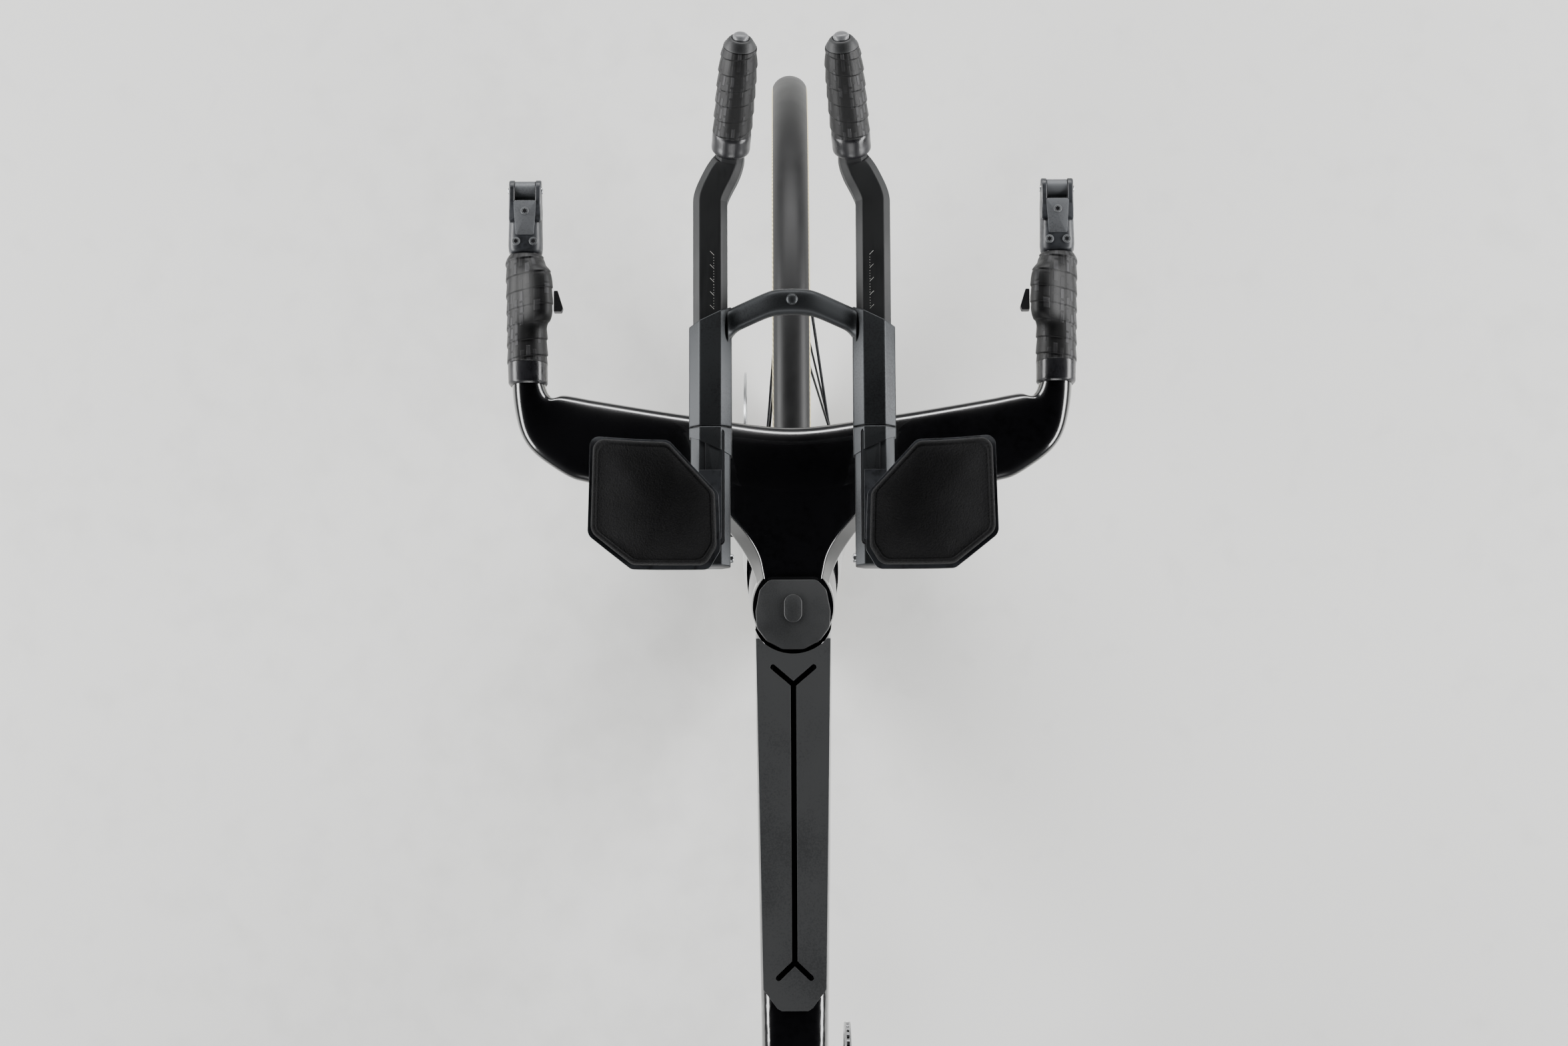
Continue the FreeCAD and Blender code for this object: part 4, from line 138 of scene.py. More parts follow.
def tyreNodes(tree):
    place = addNode(tree, "UVMap", uv_map="surface")
    across = addNode(tree, "SeparateXYZ", {"Vector": place}, out=1)
    edge = addNode(tree, "Math", {0: across}, operation="ABSOLUTE")
    wallFrom, wallFull = tyreLook["treadEdge"] * mm, (tyreLook["treadEdge"] + tyreLook["edgeFade"]) * mm
    onWall = addNode(tree, "MapRange", {"Value": edge, "From Min": wallFrom, "From Max": wallFull})
    inSpace = addNode(tree, "TexCoord", out="Object")
    bloom = addNode(tree, "TexNoise", {"Vector": inSpace, "Scale": 1000 / 25, "Detail": 8.0})
    grain = addNode(tree, "TexNoise", {"Vector": inSpace, "Scale": 1000 / 1.0, "Detail": 2.0})
    # 1.2 mm threads, coarser than the real casing's
    threads = addNode(tree, "TexWave", {"Vector": place, "Scale": 1000 / 1.2 / 6.28, "Distortion": 0.3}, out=1,
                      bands_direction="DIAGONAL")
    tread = addNode(tree, "ValToRGB", {"Fac": bloom}, zip((0.3, 0.7), tyreLook["tread"]))
    wall = addNode(tree, "ValToRGB", {"Fac": threads}, zip((0.2, 0.8), tyreLook["wall"]))
    both = addNode(tree, "Mix", {0: onWall, 6: tread, 7: wall}, out=2, data_type="RGBA")
    gloss = addNode(tree, "MapRange", {"Value": bloom, "To Min": 0.38, "To Max": 0.56})
    relief = addNode(tree, "Bump", {"Height": grain, "Distance": 0.05 * mm, "Strength": 0.5})
    return {"Base Color": both, "Roughness": gloss, "Normal": relief, "Specular IOR Level": 0.35}


# Polyurethane tape with pressed dashes that lie along the grip: black and satin; its colour is painted darker in the
# grooves between the dashes, as painted shade, and lighter on the raised dashes, varied by a wear noise
tapeLook = {"dashMm": 9.0, "rowMm": 3.6, "grooveMm": 0.9, "tone": ("#0a0a0b", "#3a3a3c")}


def tapeNodes(tree):
    place = addNode(tree, "UVMap", uv_map="surface")
    turned = addNode(tree, "Mapping", {"Vector": place, "Rotation": (0, 0, math.pi / 2)})
    dashes = addNode(tree, "TexBrick", {
        "Vector": turned, "Color1": (1, 1, 1, 1), "Color2": (0, 0, 0, 1), "Mortar": (0, 0, 0, 1), "Scale": 1.0,
        "Mortar Size": tapeLook["grooveMm"] * mm, "Mortar Smooth": 0.4, "Brick Width": tapeLook["dashMm"] * mm,
        "Row Height": tapeLook["rowMm"] * mm}, offset=0.37)
    inSpace = addNode(tree, "TexCoord", out="Object")
    wear = addNode(tree, "TexNoise", {"Vector": inSpace, "Scale": 1000 / 14, "Detail": 6.0})
    height = addNode(tree, "Math", {0: dashes, 1: wear}, operation="MULTIPLY")
    # The colour follows the relief: painted shade in the grooves, and dashes mottled by the wear noise
    tone = addNode(tree, "ValToRGB", {"Fac": height}, zip((0.1, 0.6), tapeLook["tone"]))
    gloss = addNode(tree, "MapRange", {"Value": wear, "To Min": 0.42, "To Max": 0.62})
    relief = addNode(tree, "Bump", {"Height": height, "Distance": 0.5 * mm, "Strength": 0.7})
    return {"Base Color": tone, "Roughness": gloss, "Normal": relief, "Specular IOR Level": 0.35}


# Brushed polyester knit over foam: matt black with a soft sheen; its 1.2 mm loops are coarser than the real ones
def knitNodes(tree):
    place = addNode(tree, "TexCoord", out="Object")
    loops = addNode(tree, "TexVoronoi", {"Vector": place, "Scale": 1000 / 1.2})
    pile = addNode(tree, "TexNoise", {"Vector": place, "Scale": 1000 / 1.0, "Detail": 4.0})
    clouds = addNode(tree, "TexNoise", {"Vector": place, "Scale": 1000 / 30, "Detail": 5.0})
    height = addNode(tree, "Math", {0: loops, 1: pile}, operation="ADD")
    fleck = addNode(tree, "Math", {0: pile, 1: clouds}, operation="MULTIPLY")
    tone = addNode(tree, "ValToRGB", {"Fac": fleck}, ((0.12, "#0a0a0b"), (0.42, "#1a1a1b")))
    relief = addNode(tree, "Bump", {"Height": height, "Distance": 0.4 * mm, "Strength": 0.7})
    return {"Base Color": tone, "Roughness": 0.9, "Normal": relief, "Specular IOR Level": 0.18, "Sheen Weight": 0.05,
            "Sheen Roughness": 0.45}


# Pressed microfibre: black with a pebble grain, smoother where it is worn
def saddleNodes(tree):
    place = addNode(tree, "TexCoord", out="Object")
    pebbles = addNode(tree, "TexVoronoi", {"Vector": place, "Scale": 1000 / 1.8})
    clouds = addNode(tree, "TexNoise", {"Vector": place, "Scale": 1000 / 40, "Detail": 5.0})
    tone = addNode(tree, "ValToRGB", {"Fac": clouds}, ((0.3, "#131314"), (0.7, "#1e1e20")))
    gloss = addNode(tree, "MapRange", {"Value": clouds, "To Min": 0.42, "To Max": 0.66})
    relief = addNode(tree, "Bump", {"Height": pebbles, "Distance": 0.2 * mm, "Strength": 0.6})
    return {"Base Color": tone, "Roughness": gloss, "Normal": relief}


tyreRubber = makeMaterial("moulded tyre rubber on cotton casing", tyreNodes)
tape = makeMaterial("embossed polyurethane tape", tapeNodes)
knit = makeMaterial("brushed polyester knit over foam", knitNodes)
saddleCover = makeMaterial("pressed microfibre saddle cover", saddleNodes)
print("finishes made")

finishes = {
    lacquer: "main_frame fork stem base_bar",
    mattCarbon: "left_extension right_extension seatpost arm_cups saddle_shell front_rim rear_disc right_crank "
                "left_crank",
    satinGrey: "bridge_clamp arm_rails",
    satinBlack: "front_hub rear_hub rear_brake_caliper front_brake_caliper derailleur_body derailleur_hanger "
                "chainring seatpost_clamp saddle_clamp front_axle rear_axle",
    tyreRubber: "front_tyre rear_tyre",
    coverRubber: "storage_cover",
    capNylon: "stem_cap stem_cap_plug",
    buttonRubberAndShade: "left_shift_button right_shift_button",
    tape: "bar_tapes left_extension_tape right_extension_tape",
    forgedCarbon: "brake_bodies",
    plateGrey: "left_brake_lever right_brake_lever",
    blackNylon: "left_shift_cap right_shift_cap left_shift_paddle right_shift_paddle upper_jockey lower_jockey "
                "left_pedal right_pedal storage_tray",
    brightSteel: "front_rotor rear_rotor frame_bearings pedal_spindles saddle_rails",
    zincFlake: "brake_body_screws",
    platedSteel: "cassette chain",
    blackSteel: "front_spokes bridge_plug",
    knit: "arm_pads",
    saddleCover: "saddle_pad",
}
for material, names in finishes.items():
    for name in names.split():
        nodes[name].data.materials.clear()
        nodes[name].data.materials.append(material)
print("finishes given:", sum(len(names.split()) for names in finishes.values()), "nodes")


# A smooth value between keys: a cubic whose slope at each key comes from its neighbours
def eased(keys, values, at):
    keys, values, shape, at = np.asarray(keys, float), np.asarray(values, float), np.shape(at), np.reshape(at, -1)
    lower = np.maximum(np.arange(len(keys)) - 1, 0)
    upper = np.minimum(np.arange(len(keys)) + 1, len(keys) - 1)
    column = (-1,) + (1,) * (values.ndim - 1)
    slopes = (values[upper] - values[lower]) / (keys[upper] - keys[lower]).reshape(column)
    i = np.clip(np.searchsorted(keys, at, side="right") - 1, 0, len(keys) - 2)
    span = (keys[i + 1] - keys[i]).reshape(column)
    t = (at - keys[i]).reshape(column) / span
    cubic = ((2 * t ** 3 - 3 * t ** 2 + 1) * values[i] + (t ** 3 - 2 * t ** 2 + t) * span * slopes[i]
             + (3 * t ** 2 - 2 * t ** 3) * values[i + 1] + (t ** 3 - t ** 2) * span * slopes[i + 1])
    return cubic.reshape(shape + values.shape[1:])


def unit(vectors):
    return vectors / np.linalg.norm(vectors, axis=-1, keepdims=True)


# Merges doubled points, and joins flat parts where asked
def weld(mesh, distance, joinFlat=False):
    work = bmesh.new()
    work.from_mesh(mesh)
    bmesh.ops.remove_doubles(work, verts=work.verts, dist=distance * mm)
    if joinFlat:
        bmesh.ops.dissolve_limit(work, angle_limit=math.radians(1.0), verts=work.verts, edges=work.edges)
    work.to_mesh(mesh)
    work.free()


# Makes a piece from points in millimetres, quads and end fans; faces that point inwards are turned round
def makePiece(name, points, quads, fans, body, finish, slotName, stands=(), uv=None, sharp=40.0):
    local = points - points.mean(axis=0)
    first, second, third, fourth = (local[quads[:, k]] for k in range(4))
    volume = np.sum(first * (np.cross(second, third) + np.cross(third, fourth)))
    first, second, third = (local[fans[:, k]] for k in range(3))
    if volume + np.sum(first * np.cross(second, third)) < 0:
        quads, fans = quads[:, ::-1], fans[:, ::-1]
        uv = None if uv is None else uv[:, ::-1]
    mesh = bpy.data.meshes.new(name)
    mesh.from_pydata((points * mm).tolist(), [], quads.tolist() + fans.tolist())
    if uv is not None:
        spots = np.concatenate([(uv * mm).reshape(-1), np.zeros(fans.size * 2)])
        mesh.uv_layers.new(name="surface").data.foreach_set("uv", spots.astype(np.float32))
    weld(mesh, 0.02)
    return finishPiece(name, mesh, body, finish, stands, sharp)


def finishPiece(name, mesh, body, finish, stands, sharp):
    mesh.polygons.foreach_set("use_smooth", np.ones(len(mesh.polygons), bool))
    mesh.set_sharp_from_angle(angle=math.radians(sharp))
    mesh.materials.clear()
    mesh.materials.append(finish)
    piece = bpy.data.objects.new(name, mesh)
    bpy.context.scene.collection.objects.link(piece)
    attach(piece, body)
    if stands:
        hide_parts(*stands)
    return piece


# Quads over a grid of rings; each ring closes on the row `shift` further on, and fans close the two ends
def tubeFaces(grid, shift=0, caps=True):
    rows, cols = grid.shape[:2]
    index = np.arange(rows * cols).reshape(rows, cols)
    closing = np.concatenate([index[shift:, :1], np.repeat(index[-1:, :1], shift, axis=0)])
    ring = np.concatenate([index, closing], axis=1)
    quads = np.stack([ring[:-1, :-1], ring[:-1, 1:], ring[1:, 1:], ring[1:, :-1]], axis=-1).reshape(-1, 4)
    points = grid.reshape(-1, 3)
    if not caps:
        return points, quads, np.zeros((0, 3), int)
    fans = [np.stack([edge[:-1], edge[1:], np.full(cols, len(points) + k)], axis=-1)
            for k, edge in enumerate((ring[0][::-1], ring[-1]))]
    return np.concatenate([points, grid[[0, -1]].mean(axis=1)]), quads, np.concatenate(fans)


# One coordinate pair per quad corner: along the ring and along the rows, in millimetres
def tubeMap(rowAt, ringAt):
    flat = np.stack(np.meshgrid(ringAt, rowAt), axis=-1)
    return np.stack([flat[:-1, :-1], flat[:-1, 1:], flat[1:, 1:], flat[1:, :-1]], axis=2).reshape(-1, 4, 2)


# Superellipse radius towards an angle: (|cos/a|^n + |sin/b|^n)^(-1/n)
def ovalRadius(angle, a, b, n):
    return ((np.abs(np.cos(angle)) / a) ** n + (np.abs(np.sin(angle)) / b) ** n) ** (-1 / n)


# Unit superellipse, |x|^n + |y|^n = 1: its x values and its y values
def unitOval(count, n):
    angle = (np.arange(count) + 0.5) * 2 * np.pi / count
    return [np.sign(wave) * np.abs(wave) ** (2 / n) for wave in (np.cos(angle), np.sin(angle))]


# A lid or plate: an outline drawn in by each row's inset, at each row's height
def lidPiece(name, outline, profile, *settings, **more):
    along = np.roll(outline, -1, axis=0) - np.roll(outline, 1, axis=0)
    normal = unit(np.stack([along[:, 1], -along[:, 0]], axis=1))
    area = np.sum(outline[:, 0] * np.roll(outline[:, 1], -1) - outline[:, 1] * np.roll(outline[:, 0], -1))
    rows = np.array(profile, float)[:, None]
    flat = outline - normal * np.sign(area) * rows[..., :1]
    grid = np.concatenate([flat, np.repeat(rows[..., 1:], len(outline), axis=1)], axis=-1)
    return makePiece(name, *tubeFaces(grid), *settings, **more)


# A turned piece: rows of radius and height along an axis
def turnedPiece(name, centre, axis, profile, *settings, steps=48, **more):
    axis = unit(np.array(axis, float))
    first = unit(np.cross(axis, (0, 1, 0) if abs(axis[1]) < 0.9 else (1, 0, 0)))
    angle = np.arange(steps)[:, None] * 2 * np.pi / steps
    circle = np.cos(angle) * first + np.sin(angle) * np.cross(axis, first)
    rows = np.array(profile, float)[:, None]
    grid = np.array(centre) + circle * rows[..., :1] + axis * rows[..., 1:]
    return makePiece(name, *tubeFaces(grid), *settings, **more)


# Corners of a lid that runs from rear to front, with its half width at each end
def lidCorners(rear, front, rearHalf, frontHalf):
    return np.array([(front, -frontHalf), (front, frontHalf), (rear, rearHalf), (rear, -rearHalf)])


# Rows of inset and height for a lid whose upper edge is rolled over `roll` millimetres
def rolledEdge(low, top, roll):
    return [(0, low), (0, top - roll), (0.3 * roll, top - 0.3 * roll), (roll, top)]


sides = (("left", 1), ("right", -1))

# Tyres: an oval of tyreLook["radius"] by tyreLook["half"] carried round a ring; the map runs round and across
hubX, hubZ = tyreLook["hub"]
steps, rows = tyreLook["steps"]
spin = np.arange(steps) * 2 * np.pi / steps
swing = np.linspace(-np.pi, np.pi, rows)
reach = (tyreLook["ring"] + tyreLook["radius"] * np.cos(swing))[:, None]
offset = np.repeat(tyreLook["half"] * np.sin(swing)[:, None], steps, axis=1)
around = np.linspace(0, 2 * np.pi * hubZ, steps + 1)
for label, x, body in (("front_tyre", hubX, "front_wheel"), ("rear_tyre", -hubX, "rear_wheel")):
    grid = np.stack([x + reach * np.cos(spin), offset, hubZ + reach * np.sin(spin)], axis=-1)
    makePiece(label + "_casing", *tubeFaces(grid, caps=False), body, tyreRubber, "tyre_black", [label],
              tubeMap(tyreLook["radius"] * swing, around))
print("tyres made")

# Base bar: superellipse sections carried from grip to grip along the bar's bent line
# Stations: ahead, out, turn in degrees, chord, thickness, share of the rise to the grips
barLook = {"x": 414.843, "z": 819.0, "gripZ": 830.0, "square": 2.2, "rows": 321, "columns": 64, "stations": [
    (0, 0, 0, 60, 26, 0), (8.5, 78, 5, 62, 25, 0.1), (20.5, 155, 10, 62, 24, 0.35), (27.5, 173, 19, 55, 24, 0.5),
    (35, 185.5, 34, 46, 25, 0.65), (44, 193.5, 58, 31, 27, 0.85), (60, 197.5, 80, 25, 29, 1),
    (85, 198.6, 88, 24, 29, 1), (110, 199.2, 88, 24, 29, 1), (135, 199.8, 88, 24, 29, 1), (160, 200.4, 88, 24, 29, 1)]}
half = np.array(barLook["stations"], float)
keys = np.concatenate([[0], np.cumsum(np.hypot(np.diff(half[:, 0]), np.diff(half[:, 1])))])
barStations = np.concatenate([half[:0:-1] * (1, -1, -1, 1, 1, 1), half])
barKeys = np.concatenate([-keys[:0:-1], keys])
barRun = np.linspace(-keys[-1], keys[-1], barLook["rows"])
ahead, out, turn, chord, thick, lift = (v[:, None] for v in eased(barKeys, barStations, barRun).T)
oval = unitOval(barLook["columns"], barLook["square"])
reach = chord / 2 * oval[0]
turn = np.radians(turn)
grid = np.stack([barLook["x"] + ahead + reach * np.cos(turn), out - reach * np.sin(turn),
                 barLook["z"] + lift * (barLook["gripZ"] - barLook["z"]) + thick / 2 * oval[1]], axis=-1)
makePiece("base_bar_wing", *tubeFaces(grid), "steering", lacquer, "gloss_carbon", ["base_bar"])
print("base bar made")

# Extensions: an eight sided ring with rounded corners that turns round over the bend, carried along the tube's line
extensionLook = {"tail": 363.843, "bendStart": (591.843, 59.3, 925.0), "bendEnd": (624.843, 44.7, 935.0),
                 "tipLine": (0.716375, -0.090735, 0.691803), "tipLength": 90.0, "tipRadius": 11.1, "half": 12.5,
                 "high": 10.8, "flat": 7.7, "corner": 1.6, "handle": 9.0, "leadIn": 4.0, "leadOut": 12.0,
                 "roundFrom": 0.55, "roundPower": 1.6}


# A closed ring of straight sides whose corners are arcs of `radius`; points just inside each side keep it flat
def roundedRing(corners, radius, steps=5, margin=0.5):
    corners = np.asarray(corners, float)
    behind, ahead = (unit(np.roll(corners, step, axis=0) - corners) for step in (1, -1))
    halfTurn = np.arccos(np.clip((behind * ahead).sum(axis=1), -1, 1))[:, None] / 2
    reach = radius / np.tan(halfTurn)
    start, end = (corners + behind * reach)[:, None], (corners + ahead * reach)[:, None]
    middle = (corners + unit(behind + ahead) * radius / np.sin(halfTurn))[:, None]
    spoke = start + (end - start) * np.linspace(0, 1, steps)[None, :, None] - middle
    arc = middle + unit(spoke) * radius
    return np.concatenate([start + behind[:, None] * margin, arc, end + ahead[:, None] * margin], axis=1).reshape(-1, 2)


def eightSided(look):
    halfWide, high, flatHalf = look["half"], look["high"], look["flat"]
    drop = halfWide - flatHalf
    return [(halfWide, -high + drop), (halfWide, high - drop), (flatHalf, high), (-flatHalf, high),
            (-halfWide, high - drop), (-halfWide, -high + drop), (-flatHalf, -high), (flatHalf, -high)]


tipLine = np.array(extensionLook["tipLine"])
bendStart, bendEnd = np.array(extensionLook["bendStart"]), np.array(extensionLook["bendEnd"])
tipEnd = bendEnd + tipLine * extensionLook["tipLength"]
eight = roundedRing(eightSided(extensionLook), extensionLook["corner"])
eightAngle = np.arctan2(eight[:, 1] / extensionLook["high"], eight[:, 0] / extensionLook["half"])
roundTip = extensionLook["tipRadius"] * np.stack([np.cos(eightAngle), np.sin(eightAngle)], axis=1)
# The bend is a Bezier cubic with short handles, so that it slants straight between two tight turns
share = np.linspace(0, 1, 25)[:, None]
curve = ((1 - share) ** 3 * bendStart + 3 * (1 - share) ** 2 * share * (bendStart + (extensionLook["handle"], 0, 0))
         + 3 * (1 - share) * share ** 2 * (bendEnd - tipLine * extensionLook["handle"]) + share ** 3 * bendEnd)
path = np.concatenate([[(extensionLook["tail"], *bendStart[1:]), bendStart - (extensionLook["leadIn"], 0, 0)], curve,
                       [bendEnd + tipLine * extensionLook["leadOut"], tipEnd]])
lines = np.gradient(path, axis=0)
lines[:3], lines[-3:] = (1, 0, 0), tipLine
lines = unit(lines)
acrossLine = unit(np.cross((0, 0, 1), lines))
upLine = np.cross(lines, acrossLine)
turned = np.clip((share[:, 0] - extensionLook["roundFrom"]) / (1 - extensionLook["roundFrom"]), 0, 1)
rounding = np.concatenate([[0, 0], turned ** extensionLook["roundPower"], [1, 1]])[:, None, None]
profile = eight * (1 - rounding) + roundTip * rounding
extensionGrid = path[:, None] + profile[..., :1] * acrossLine[:, None] + profile[..., 1:] * upLine[:, None]
for side, sign in sides:
    makePiece(side + "_extension_tube", *tubeFaces(extensionGrid * (1, sign, 1)), side + "_extension", mattCarbon,
              "matte_carbon", [side + "_extension"], sharp=50)
print("extensions made")

# Wound tape: rows follow the wrap, s = pitch * (row + angle / turn - 1)
# Each wrap steps up over the share "edge" of its pitch and thins out over the rest
wrapLook = {"pitch": 12.5, "step": 0.9, "edge": 0.08, "mapRadius": 14.0, "rowsPerWrap": 26, "columns": 72}


def woundPiece(name, length, radiusAt, placeAt, body, stands):
    per, columns, pitch, edge = (wrapLook[key] for key in ("rowsPerWrap", "columns", "pitch", "edge"))
    rows = int(math.ceil(length / pitch) + 1) * per + 1
    row, col = np.meshgrid(np.arange(rows), np.arange(columns), indexing="ij")
    run = (row / per + col / columns - 1) * pitch
    along = np.clip(run, 0, length)
    angle = col / columns * 2 * np.pi
    f = (row % per) / per
    rise = (np.where(f < edge, f / edge, (1 - f) / (1 - edge)) - 0.5) * wrapLook["step"]
    # Rows past either end share one ring, so that the ends close
    grid = placeAt(along, angle, radiusAt(along, angle) + np.where((run > 0) & (run < length), rise, 0))
    uv = tubeMap(np.arange(rows) / per * pitch, np.linspace(0, 2 * np.pi * wrapLook["mapRadius"], columns + 1))
    return makePiece(name, *tubeFaces(grid, shift=per), body, tape, "wrap_tape", stands, uv, sharp=60)


# Grips of the extensions: radius along the tape, and along the band that tucks under its rear
gripLook = {"start": 19.0, "radius": ([0, 0.3, 0.6, 0.85, 1], [14.0, 14.1, 14.0, 13.4, 12.0]), "bandStart": 4.0,
            "band": ([0, 0.12, 0.5, 0.88, 1], [12.4, 13.9, 14.1, 14.2, 13.8])}
bandLook = {"tuck": 1.5, "rows": 25, "columns": 64}
tipAcross, tipUp = acrossLine[-1], upLine[-1]
gripLength = extensionLook["tipLength"] - gripLook["start"]
bandTurn = np.arange(bandLook["columns"]) * 2 * np.pi / bandLook["columns"]
bandRun, bandAngle = np.meshgrid(np.linspace(0, 1, bandLook["rows"]), bandTurn, indexing="ij")


def gripRadius(along, angle):
    return eased(*gripLook["radius"], along / gripLength)


def gripPlace(along, angle, radius, start=gripLook["start"]):
    ring = np.cos(angle)[..., None] * tipAcross + np.sin(angle)[..., None] * tipUp
    return bendEnd + tipLine * (start + along)[..., None] + ring * radius[..., None]


gripBand = gripPlace(bandRun * (gripLook["start"] - gripLook["bandStart"] + bandLook["tuck"]), bandAngle,
                     eased(*gripLook["band"], bandRun), gripLook["bandStart"])
# Grip tapes on the base bar: oval wraps, a bulge over the switch on the inner side, clear of its paddle, and a band
barGripLook = {"from": 77.0, "to": 160.0, "bandFrom": 60.5, "a": 15.0, "b": 17.4, "square": 2.3, "out": 196.56,
               "splay": 0.024, "neck": 0.16, "neckAt": 568.0, "neckLength": 7.0, "swell": 12.0,
               "swellAt": (522.0, 564.0), "swellFade": 5.0, "swellTurn": 127.0, "swellPower": 6,
               "band": ([0, 0.1, 0.9, 1], [-2.0, -0.3, -0.1, -0.7])}


def barOval(angle):
    return ovalRadius(angle, barGripLook["a"], barGripLook["b"], barGripLook["square"])


def barPlace(along, angle, radius, start=barGripLook["from"]):
    run = start + along
    return np.stack([barLook["x"] + run, barGripLook["out"] + barGripLook["splay"] * run + radius * np.cos(angle),
                     barLook["gripZ"] + radius * np.sin(angle)], axis=-1)


# The oval times its neck, plus swell * (tanh rear - tanh front) / 2 * cos(angle - turn)^6
def barRadius(along, angle):
    x = barLook["x"] + barGripLook["from"] + along
    rear, front = (np.tanh((x - at) / barGripLook["swellFade"]) for at in barGripLook["swellAt"])
    bulge = barGripLook["swell"] * (rear - front) / 2
    facing = np.clip(np.cos(angle - math.radians(barGripLook["swellTurn"])), 0, 1) ** barGripLook["swellPower"]
    neck = 1 - barGripLook["neck"] * np.clip((x - barGripLook["neckAt"]) / barGripLook["neckLength"], 0, 1) ** 2
    return barOval(angle) * neck + bulge * facing


barBand = barPlace(bandRun * (barGripLook["from"] - barGripLook["bandFrom"] + bandLook["tuck"]), bandAngle,
                   barOval(bandAngle) + np.interp(bandRun, *barGripLook["band"]), barGripLook["bandFrom"])
for side, sign in sides:
    woundPiece(side + "_extension_wrap", gripLength, gripRadius, lambda *at: gripPlace(*at) * (1, sign, 1),
               side + "_extension", [side + "_extension_tape"])
    woundPiece(side + "_bar_wrap", barGripLook["to"] - barGripLook["from"], barRadius,
               lambda *at: barPlace(*at) * (1, sign, 1), "steering", ["bar_tapes"])
    for label, grid, body in (("_extension_band", gripBand, side + "_extension"), ("_bar_band", barBand, "steering")):
        makePiece(side + label, *tubeFaces(grid * (1, sign, 1)), body, bandVinyl, "wrap_tape")
print("tapes made")

# Arm pads: the outline shrinks towards its middle in rings; height follows the dish across the bike
padLook = {"rear": 321.843, "inner": 54.5, "length": 90.0, "width": 90.0, "floor": 943.6, "thick": 10.5, "rise": 18.0,
           "corner": 9.0, "lap": 8.0,
           "corners": [(1, 0.975), (0.99, 0.39), (0.58, 0.014), (0.145, 0), (0, 0.087), (0, 0.67), (0.245, 0.993)],
           "dish": ([0, 0.15, 0.35, 0.6, 0.82, 1], [0.1, 0.02, 0, 0.12, 0.5, 1]),
           # Each row's size and height as shares: flat base, bulging side, rolled edge, stitched crease, crowned top
           "rows": [(0, 0), (0.6, 0), (0.94, 0), (0.985, 0.12), (1, 0.38), (1, 0.55), (0.992, 0.74), (0.975, 0.92),
                    (0.95, 1.02), (0.935, 1.02), (0.922, 0.985), (0.915, 0.97), (0.908, 0.985), (0.89, 1.01),
                    (0.8, 0.99), (0.7, 0.93), (0.55, 0.82), (0.35, 0.72), (0.15, 0.68), (0, 0.67)]}
padCorners = np.array(padLook["corners"]) * (padLook["length"], padLook["width"]) + (padLook["rear"], padLook["inner"])
padRing = roundedRing(padCorners, padLook["corner"], steps=9, margin=1.5)
# Two more points along each side let the dish bend it
between = np.array([0, 0.34, 0.67])[:, None]
padRing = (padRing[:, None] + (np.roll(padRing, -1, axis=0) - padRing)[:, None] * between).reshape(-1, 2)
padMiddle = padRing.mean(axis=0)
padRows = np.array(padLook["rows"], float)
flat = padMiddle + (padRing - padMiddle) * padRows[:, :1, None]
outwards = flat[..., 1] - padLook["inner"] + padLook["lap"]
acrossShare = np.clip(outwards / (padLook["width"] + 2 * padLook["lap"]), 0, 1)
dish = eased(*padLook["dish"], acrossShare)
z = padLook["floor"] + padLook["rise"] * dish + padLook["thick"] * padRows[:, 1:]
padGrid = np.concatenate([flat, z[..., None]], axis=-1)
for side, sign in sides:
    pad = makePiece(side + "_arm_cushion", *tubeFaces(padGrid * (1, sign, 1), caps=False), "steering", knit,
                    "pad_fabric", ["arm_pads"], sharp=80)
print("arm pads made")

# Saddle pad: sections along the saddle, rounded on top and drawn in at the lower edge, with a relief channel
# y = w |cos a|^flank, z = low + (top - low) sin(a)^crown - deep * ends^0.7 * e^(-(y / half)^4)
saddleLook = {"nose": -147.975, "top": 1004.0, "low": 982.4, "crown": 0.6, "flank": 0.75, "drawIn": 0.05,
              "runs": [(0, 20, 21), (20, 225, 120), (225, 245, 25)],
              "channel": {"from": 26.0, "to": 172.0, "half": 7.5, "deep": 13.0, "fade": 25.0},
              # How far back, half width, height against the top
              "stations": [(0, 8.0, -16), (3, 16.1, -11), (18, 23.9, -4), (60, 26, -1), (110, 31.2, -2),
                           (160, 48.8, -1), (200, 62.7, 0), (228, 64.7, -1), (241, 52, -4), (245, 38, -8)]}
saddleKeys = np.array(saddleLook["stations"], float)
run = np.unique(np.concatenate([np.linspace(*piece) for piece in saddleLook["runs"]]))
halfWide, drop = (v[:, None] for v in eased(saddleKeys[:, 0], saddleKeys[:, 1:], run).T)
run = run[:, None]
swing = np.linspace(0, np.pi, 61)
rise = np.sin(swing) ** saddleLook["crown"]
flank = np.sign(np.cos(swing)) * np.abs(np.cos(swing)) ** saddleLook["flank"]
y = halfWide * flank * (1 - saddleLook["drawIn"] * (1 - rise) ** 2)
channel = saddleLook["channel"]
ends = np.clip((run - channel["from"]) / channel["fade"], 0, 1) * np.clip((channel["to"] - run) / channel["fade"], 0, 1)
press = channel["deep"] * ends ** 0.7 * np.exp(-(y / channel["half"]) ** 4)
z = saddleLook["low"] + (saddleLook["top"] + drop - saddleLook["low"]) * rise - press
top = np.stack([np.repeat(saddleLook["nose"] - run, len(swing), axis=1), y, z], axis=-1)
# The underside runs straight between the two lower edges
spread = np.linspace(-1, 1, len(swing))[1:-1, None]
under = top[:, :1] * (1, 0, 0) + spread * top[:, :1] * (0, 1, 0) + (0, 0, saddleLook["low"])
saddle = makePiece("saddle_cushion", *tubeFaces(np.concatenate([top, under], axis=1)), "seatpost", saddleCover,
                   "saddle_cover", ["saddle_pad"], sharp=70)
print("saddle pad made")


